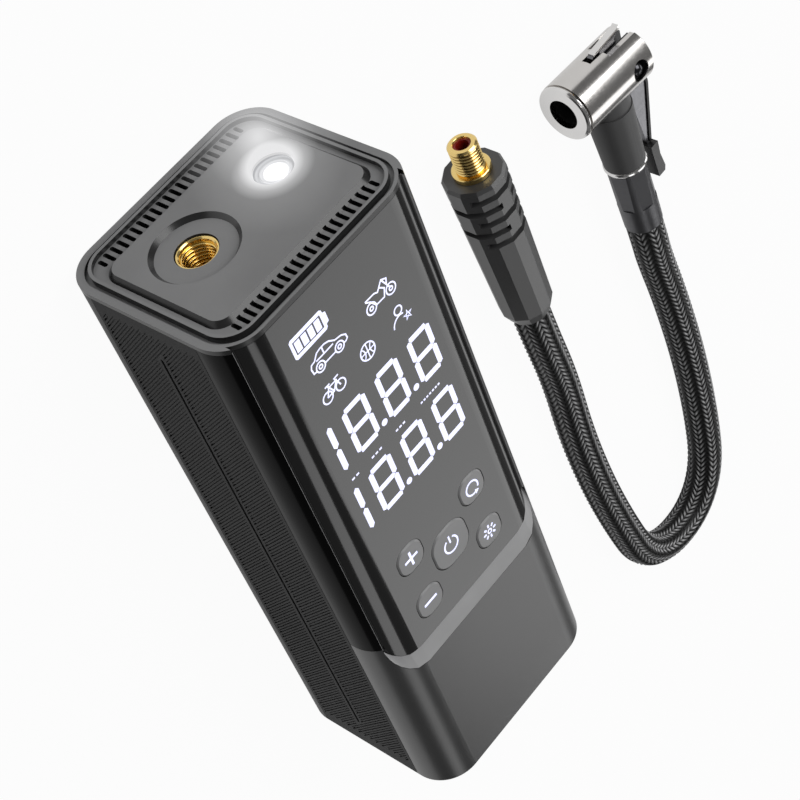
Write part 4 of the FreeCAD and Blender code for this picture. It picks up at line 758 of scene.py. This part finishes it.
def metal(name, colour, roughness, scratch=0.05, tint=0.06):
    """Machined or plated metal: fine tool marks and faint patches of wear."""
    material, tree, shader = nodes_of(name)
    marks = noise(tree, 900.0, detail=3.0)
    low = tuple(c * (1.0 - tint) for c in colour)
    high = tuple(min(c * (1.0 + tint), 1.0) for c in colour)
    link_ramp(tree, noise(tree, 120.0), [(0.35, low), (0.65, high)], shader.inputs["Base Color"])
    link_range(tree, marks, roughness * 0.75, roughness * 1.25, shader.inputs["Roughness"])
    link_bump(tree, marks, scratch, 0.00003)
    shader.inputs["Metallic"].default_value = 1.0
    return material


brass_colour = (0.95, 0.70, 0.27)
brass = metal("turned_brass", brass_colour, 0.2)
brass_with_painted_groove_shade = metal("brass_with_painted_groove_shade", brass_colour, 0.22)
thread_tree = brass_with_painted_groove_shade.node_tree
# Painted shade: the brass runs to a dark brown towards the bottom of each thread groove.
painted_groove_shade_stops = [(0.25, brass_colour), (0.7, (0.16, 0.07, 0.01))]
link_ramp(thread_tree, attribute(thread_tree, "groove_depth"), painted_groove_shade_stops,
          thread_tree.nodes["Principled BSDF"].inputs["Base Color"])
chrome = metal("polished_chrome", (0.68, 0.66, 0.64), 0.19, scratch=0.01, tint=0.02)
bright = metal("bright_ring", (0.80, 0.79, 0.78), 0.15, scratch=0.02, tint=0.02)
dark_steel = metal("dark_plated_steel", (0.20, 0.20, 0.21), 0.3)
plain_steel = metal("plain_steel", (0.55, 0.55, 0.57), 0.3)
finish_node(brass, "outlet_socket", "motor_pinion")
finish_node(chrome, "chuck_barrel")
finish_node(bright, "chuck_mouth_ring", "sleeve_ring")
finish_node(dark_steel, "clamp_lever")
# The pin's steel is made near black as painted shade for the dark pivot window round it.
finish_node(metal("pin_steel_painted_shade", (0.06, 0.06, 0.065), 0.2), "lever_pin")
finish_node(plain_steel, "case_screws", "charge_socket", "pump_bracket", "crank_gear", "drive_motor")
finish_node(metal("sintered_bronze", (0.5, 0.34, 0.18), 0.5), "axle_bush")
finish_node(metal("cast_alloy", (0.62, 0.63, 0.65), 0.45, scratch=0.3), "pump_cylinder", "cylinder_head")
finish_node(metal("gunmetal_sleeve", (0.10, 0.10, 0.105), 0.38), "hose_sleeve")

# Nipple. A turned brass end with a rolled 8 mm thread above its flange, a shank inside the
# grip, and a red seal in its mouth.
grip_turn = math.radians(2.8)
grip_length = 0.026
nipple_seat = Vector((0.0782 - math.sin(grip_turn) * grip_length,
                      -0.00545 + math.cos(grip_turn) * grip_length, 0.0086))


def turned_thread(name, profile, thread, turns_round=96):
    """Turned part along +Y from its seat: (distance, radius) corners in mm, with a screw thread.

    The profile is divided finely where the thread runs. Between the thread's two distances the
    radius follows a triangle wave of distance minus the lead times the turn, so that its crest
    runs round as a helix. The whole is then turned with the grip and carried to the seat."""
    low, high, pitch, depth = thread
    corner_y, corner_r = np.array(profile).T
    threaded = (corner_y[:-1] >= low - 1e-6) & (corner_y[1:] <= high + 1e-6) & (np.diff(corner_y) > 0)
    steps = np.where(threaded, np.maximum(np.abs(np.diff(corner_y)) / (pitch / 16), 1), 1).astype(int)
    number = np.arange(len(profile))
    share = np.concatenate([k + np.arange(count) / count for k, count in enumerate(steps)] + [number[-1:]])
    distance = np.interp(share, number, corner_y)[:, None]
    radius = np.interp(share, number, corner_r)[:, None]
    angle = np.linspace(0, 2 * math.pi, turns_round, endpoint=False)[None, :]
    wave = np.abs(2 * np.mod((distance - low) / pitch - angle / (2 * math.pi), 1.0) - 1)
    fade = np.clip(np.minimum(distance - low, high - distance) / (0.5 * pitch), 0, 1)
    cut = depth * wave * fade * (radius > 3.0)
    across = (radius - cut) * np.cos(angle) / 1000
    along = (distance + 0 * angle) / 1000
    x = nipple_seat.x + across * math.cos(grip_turn) - along * math.sin(grip_turn)
    y = nipple_seat.y + across * math.sin(grip_turn) + along * math.cos(grip_turn)
    z = nipple_seat.z + (radius - cut) * np.sin(angle) / 1000
    points = np.stack([x, y, z], -1).reshape(-1, 3)
    piece = add_piece(name, points, grid_faces(len(distance), turns_round, rows_close=True))
    piece.data.set_sharp_from_angle(angle=math.radians(40))
    # The depth of cut is kept so that the material can paint shade in the grooves.
    store = piece.data.attributes.new("groove_depth", "FLOAT", "POINT")
    store.data.foreach_set("value", (cut / depth).ravel().astype(np.float32))
    return piece


nipple_profile = [(-10.0, 1.2), (-10.0, 3.4), (0.02, 3.4), (0.02, 4.95), (0.2, 5.15),
                  (1.4, 5.15), (1.6, 4.95), (1.6, 3.5), (2.0, 3.95), (9.3, 3.95),
                  (9.8, 3.45), (9.8, 2.45), (9.6, 2.3), (5.8, 2.3), (5.8, 1.2)]
nipple = turned_thread("nipple_turned", nipple_profile, (2.0, 9.3, 1.0, 0.6))
nipple.data.materials.append(brass_with_painted_groove_shade)
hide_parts("hose_nipple")
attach(nipple, "hose_set")
finish_node(moulding("red_rubber", (0.22, 0.008, 0.005), 0.4, grain=0.0003), "nipple_seal")

# Socket thread. The outlet is a turned brass socket let into the cap's face. The same thread
# is cut inside it, and stands as a raised helix on its wall.
socket_axis = (-0.00995, 0.0234)
socket_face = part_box("outlet_socket")[1].y


def inner_helix(name, axis, top, radius, depth, pitch, turns, steps_round=48):
    """Helix of triangular section on the wall of a bore along Y."""
    count = int(turns * steps_round) + 1
    angle = np.linspace(0, 2 * math.pi * turns, count)
    middle = top - 0.0006 - pitch * angle / (2 * math.pi)
    ease = np.clip(np.minimum(np.arange(count), np.arange(count)[::-1]) / 12.0, 0.05, 1.0)
    section = ((0.0, -0.42), (1.0, 0.0), (0.0, 0.42))
    points = []
    for inward, shift in section:
        reach = radius + 0.00004 - (depth * inward * ease)
        points.append(np.stack([axis[0] + reach * np.cos(angle), middle + shift * pitch,
                                axis[1] + reach * np.sin(angle)], -1))
    points = np.stack(points, 1).reshape(-1, 3)
    faces = grid_faces(count, 3)[:, [0, 3, 2, 1]].tolist()
    end = (count - 1) * 3
    faces += [[2, 1, 0], [end, end + 1, end + 2]]
    return add_piece(name, points, faces)


socket_thread = inner_helix("socket_thread", socket_axis, socket_face + 0.0026, 0.00418, 0.0007, 0.001, 8)
socket_thread.data.materials.append(brass)
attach(socket_thread, "housing")


# Socket collar. The socket's own rim, a thin turned ring that stands out of the cap with its
# outer edge broken and its mouth dished.


def turned_collar(name, axis, profile, turns_round=72):
    """Closed ring along Y: (radius, height) corners in mm, taken anticlockwise, carried round."""
    radius = np.array(profile)[:, :1] / 1000
    height = socket_face + np.array(profile)[:, 1:] / 1000
    angle = np.linspace(0, 2 * math.pi, turns_round, endpoint=False)[None, :]
    x = axis[0] + radius * np.sin(angle)
    z = axis[1] + radius * np.cos(angle)
    points = np.stack([x, height + 0 * angle, z], -1)
    piece = add_piece(name, points.reshape(-1, 3), grid_faces(len(profile), turns_round, rows_close=True))
    piece.data.set_sharp_from_angle(angle=math.radians(30))
    return piece


collar_profile = [(5.0, -6.0), (5.0, 2.5), (4.8, 2.7), (4.5, 2.7), (4.2, 2.4), (4.2, -6.0)]
collar = turned_collar("socket_collar", socket_axis, collar_profile)
collar.data.materials.append(brass)
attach(collar, "housing")

# Plastics and rubber of the hose set. The faceted grip is moulded over the hose's end; the
# stem, the core and the liner are hard plastic, the washer is rubber, and the thumb pad is a
# cap pressed on the lever.
finish_node(moulding("grip_satin", grey(0.05), 0.32, grain=0.0003, gloss=0.7), "hose_grip")
finish_node(moulding("stem_satin", grey(0.07), 0.5, grain=0.0003, relief=0.05, gloss=0.4), "chuck_stem")
finish_node(moulding("core_black", grey(0.025), 0.4, grain=0.0003), "chuck_core", "chuck_liner")
finish_node(moulding("pad_black", grey(0.012), 0.3, grain=0.0003), "lever_pad")
finish_node(moulding("washer_rubber", grey(0.02), 0.6, grain=0.0003, relief=0.2), "chuck_washer")

# Lever trim. The lever is pressed steel with a rolled edge down its arm, coloured near black as
# painted shade along that edge, and a bright plated strip lies over its claw.


def edge_strip(name, line, depth, half_height, turn, chuck_place):
    """Strip along a line in the lever's plane, square in section, reaching depth to its left.

    The line is in mm in the chuck's frame, turned by an angle about Z and then carried to the
    chuck's place."""
    line = np.array(line)
    along = np.gradient(line, axis=0)
    along /= np.linalg.norm(along, axis=1)[:, None]
    left = np.stack([-along[:, 1], along[:, 0]], -1)
    inner = line + left * depth
    rings = [(line, -half_height), (line, half_height), (inner, half_height), (inner, -half_height)]
    corners = np.stack([np.c_[flat, np.full(len(line), z)] for flat, z in rings], 1)
    cos_t, sin_t = math.cos(turn), math.sin(turn)
    x = (corners[..., 0] * cos_t - corners[..., 1] * sin_t) / 1000 + chuck_place[0]
    y = (corners[..., 0] * sin_t + corners[..., 1] * cos_t) / 1000 + chuck_place[1]
    z = corners[..., 2] / 1000 + chuck_place[2]
    points = np.stack([x, y, z], -1).reshape(-1, 3)
    last = len(points) - 1
    faces = [[0, 1, 2, 3], [last, last - 1, last - 2, last - 3]] + grid_faces(len(line), 4).tolist()
    return add_piece(name, points, faces, smooth=False)


chuck_place = (0.1263, 0.0085, 0.0083)
arm_line = [(10.42, -31.6), (15.1, -14.4), (15.28, -13.5), (15.18, -11.6), (12.4, -6.6), (10.4, -2.4)]
arm_edge_shade_strip = edge_strip("lever_edge_shade_strip", arm_line, 0.9, 1.3, math.radians(2.0), chuck_place)
# The rolled edge's near-black colour is painted shade.
arm_edge_shade_strip.data.materials.append(moulding("arm_edge_painted_shade", grey(0.006), 0.3, grain=0.0003, relief=0.05, gloss=0.3))
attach(arm_edge_shade_strip, "lever")
claw_line = [(-1.0, 8.66), (9.2, 9.92), (10.3, 10.5)]
claw_plate = edge_strip("claw_plate", claw_line, 0.45, 1.0, math.radians(-3.5), chuck_place)
claw_plate.data.materials.append(bright)
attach(claw_plate, "lever")

# Lamp. A clear moulded lens with shallow rings is pressed into the cap over a plated cup, and
# the chip behind it is lit.


def turned_lens(name, middle, profile, turns_round=72):
    """Turned disc along +Y: (radius, depth) corners in mm, the front first, closed at both ends
    by one corner on the axis."""
    radius = np.array(profile)[:, :1] / 1000
    depth = np.array(profile)[:, 1:] / 1000
    angle = np.linspace(0, 2 * math.pi, turns_round, endpoint=False)[None, :]
    x = middle[0] + radius * np.sin(angle)
    z = middle[2] + radius * np.cos(angle)
    y = middle[1] + depth + 0 * angle
    poles = [(middle[0], middle[1] + depth[end, 0], middle[2]) for end in (0, -1)]
    points = np.concatenate([np.stack([x, y, z], -1).reshape(-1, 3), poles])
    faces = grid_faces(len(profile), turns_round).tolist()
    ring = np.arange(turns_round)
    after = (ring + 1) % turns_round
    base = (len(profile) - 1) * turns_round
    faces += np.stack([np.full(turns_round, len(points) - 2), ring, after], 1).tolist()
    faces += np.stack([np.full(turns_round, len(points) - 1), base + after, base + ring], 1).tolist()
    piece = add_piece(name, points, faces)
    piece.data.set_sharp_from_angle(angle=math.radians(25))
    return piece


def lamp_glow(middle):
    """Lit lens: the light grows from the rim to the chip at its middle, in rings."""
    material, tree, shader = nodes_of("lamp_glow")
    chip = (middle[0], middle[1], middle[2] + 0.0006)
    stops = [(0.03, grey(0.2)), (0.1, grey(0.42)), (0.2, grey(0.3)), (0.32, grey(0.55)), (0.38, grey(0.45)),
             (0.5, grey(1.0))]
    link_ramp(tree, fall_from(tree, chip, (0.005, 0.05, 0.005)), stops, shader.inputs["Emission Color"])
    shader.inputs["Emission Strength"].default_value = 1.1
    shader.inputs["Base Color"].default_value = (0.3, 0.31, 0.33, 1.0)
    shader.inputs["Roughness"].default_value = 0.08
    return material


lens_profile = [(2.4, 0.75), (2.6, 0.6), (3.3, 0.8), (3.5, 0.6), (4.1, 0.95), (4.65, 1.0), (4.68, 0.8),
                (4.55, -1.4), (4.5, -1.7)]
lens = turned_lens("lamp_lens_rings", lamp_middle, lens_profile)
lens.data.materials.append(lamp_glow(lamp_middle))
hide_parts("lamp_lens")
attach(lens, "housing")
finish_node(metal("plated_cup", (0.85, 0.85, 0.87), 0.1), "lamp_reflector")

# Parts inside the housing. Green boards, a black display module, two sleeved cells in their
# saddles, milky silicone tubes, and the moulded piston with its rod.
board_finish = moulding("circuit_board", (0.01, 0.07, 0.035), 0.35, grain=0.0006, relief=0.2)
finish_node(board_finish, "lamp_module", "key_switches", "main_board", "charge_board")
finish_node(moulding("display_module", grey(0.01), 0.3, grain=0.001, relief=0.05), "display_panel")
finish_node(moulding("cell_sleeve", (0.02, 0.13, 0.42), 0.3, grain=0.002, relief=0.05), "battery_cells")
inner_finish = moulding("inner_black", grey(0.05), 0.5, grain=0.0004, relief=0.2)
finish_node(inner_finish, "battery_clips", "pressure_sensor")
tube_finish = moulding("milky_silicone", (0.62, 0.6, 0.55), 0.45, grain=0.0006)
finish_node(tube_finish, "air_tube", "sensor_tube")
finish_node(moulding("piston_plastic", (0.68, 0.66, 0.6), 0.4, grain=0.0004), "piston_rod")

# Floor and light. A white table top that runs on past the view, a large soft box overhead
# with three weak ones round it, and a pale sky.


def white_floor():
    """White surface that keeps soft shadows and reads as white to the eye and in reflections."""
    seen_white = 0.96
    mirrored_white = 0.6
    material, tree, shader = nodes_of("white_floor")
    output = tree.nodes["Material Output"]
    shader.inputs["Base Color"].default_value = (0.5, 0.5, 0.5, 1.0)
    shader.inputs["Roughness"].default_value = 0.9
    glow = tree.nodes.new("ShaderNodeEmission")
    glow.inputs["Color"].default_value = (1.0, 1.0, 1.0, 1.0)
    glow.inputs["Strength"].default_value = 1.0
    rays = tree.nodes.new("ShaderNodeLightPath")
    mirrored = maths(tree, "MAXIMUM", rays.outputs["Is Glossy Ray"], rays.outputs["Is Transmission Ray"])
    dimmed = maths(tree, "MULTIPLY", mirrored, mirrored_white)
    plain = maths(tree, "MULTIPLY", rays.outputs["Is Camera Ray"], seen_white)
    mix = tree.nodes.new("ShaderNodeMixShader")
    tree.links.new(maths(tree, "MAXIMUM", plain, dimmed), mix.inputs["Fac"])
    tree.links.new(shader.outputs["BSDF"], mix.inputs[1])
    tree.links.new(glow.outputs["Emission"], mix.inputs[2])
    tree.links.new(mix.outputs["Shader"], output.inputs["Surface"])
    return material


floor_half = 4.0
floor_level = -0.0002
floor_corners = np.array([(-1.0, -1.0), (1.0, -1.0), (1.0, 1.0), (-1.0, 1.0)]) * floor_half
floor = add_piece("floor", np.c_[floor_corners, np.full(4, floor_level)], [[0, 1, 2, 3]], smooth=False)
floor.data.materials.append(white_floor())

sky = bpy.data.worlds.new("sky")
bpy.context.scene.world = sky
sky.use_nodes = True
sky_paint = sky.node_tree.nodes["Background"]
sky_paint.inputs["Color"].default_value = (1.0, 1.0, 1.0, 1.0)
sky_light = 0.14
sky_seen = 0.95
sky_rays = sky.node_tree.nodes.new("ShaderNodeLightPath")
link_range(sky.node_tree, sky_rays.outputs["Is Camera Ray"], sky_light, sky_seen,
           sky_paint.inputs["Strength"])


set_middle = Vector((0.03, 0.0, 0.03))


def soft_box(name, place, width, height, radiance):
    """Area light of a given brightness that faces the middle of the set."""
    data = bpy.data.lights.new(name, "AREA")
    data.shape = "RECTANGLE"
    data.size = width
    data.size_y = height
    data.energy = radiance * math.pi * width * height
    light = bpy.data.objects.new(name, data)
    bpy.context.scene.collection.objects.link(light)
    light.location = place
    light.rotation_euler = (set_middle - Vector(place)).to_track_quat("-Z", "Y").to_euler()


soft_box("key_box", (0.55, 0.9, 1.35), 1.2, 1.2, 4.4)
soft_box("front_box", (0.72, -1.05, 0.86), 0.75, 0.6, 1.7)
soft_box("bend_box", (-0.36, -1.05, 0.88), 0.4, 0.6, 1.5)
soft_box("fill_box", (1.3, -0.35, 0.5), 0.9, 0.7, 2.0)

bpy.context.scene.view_settings.view_transform = "Standard"
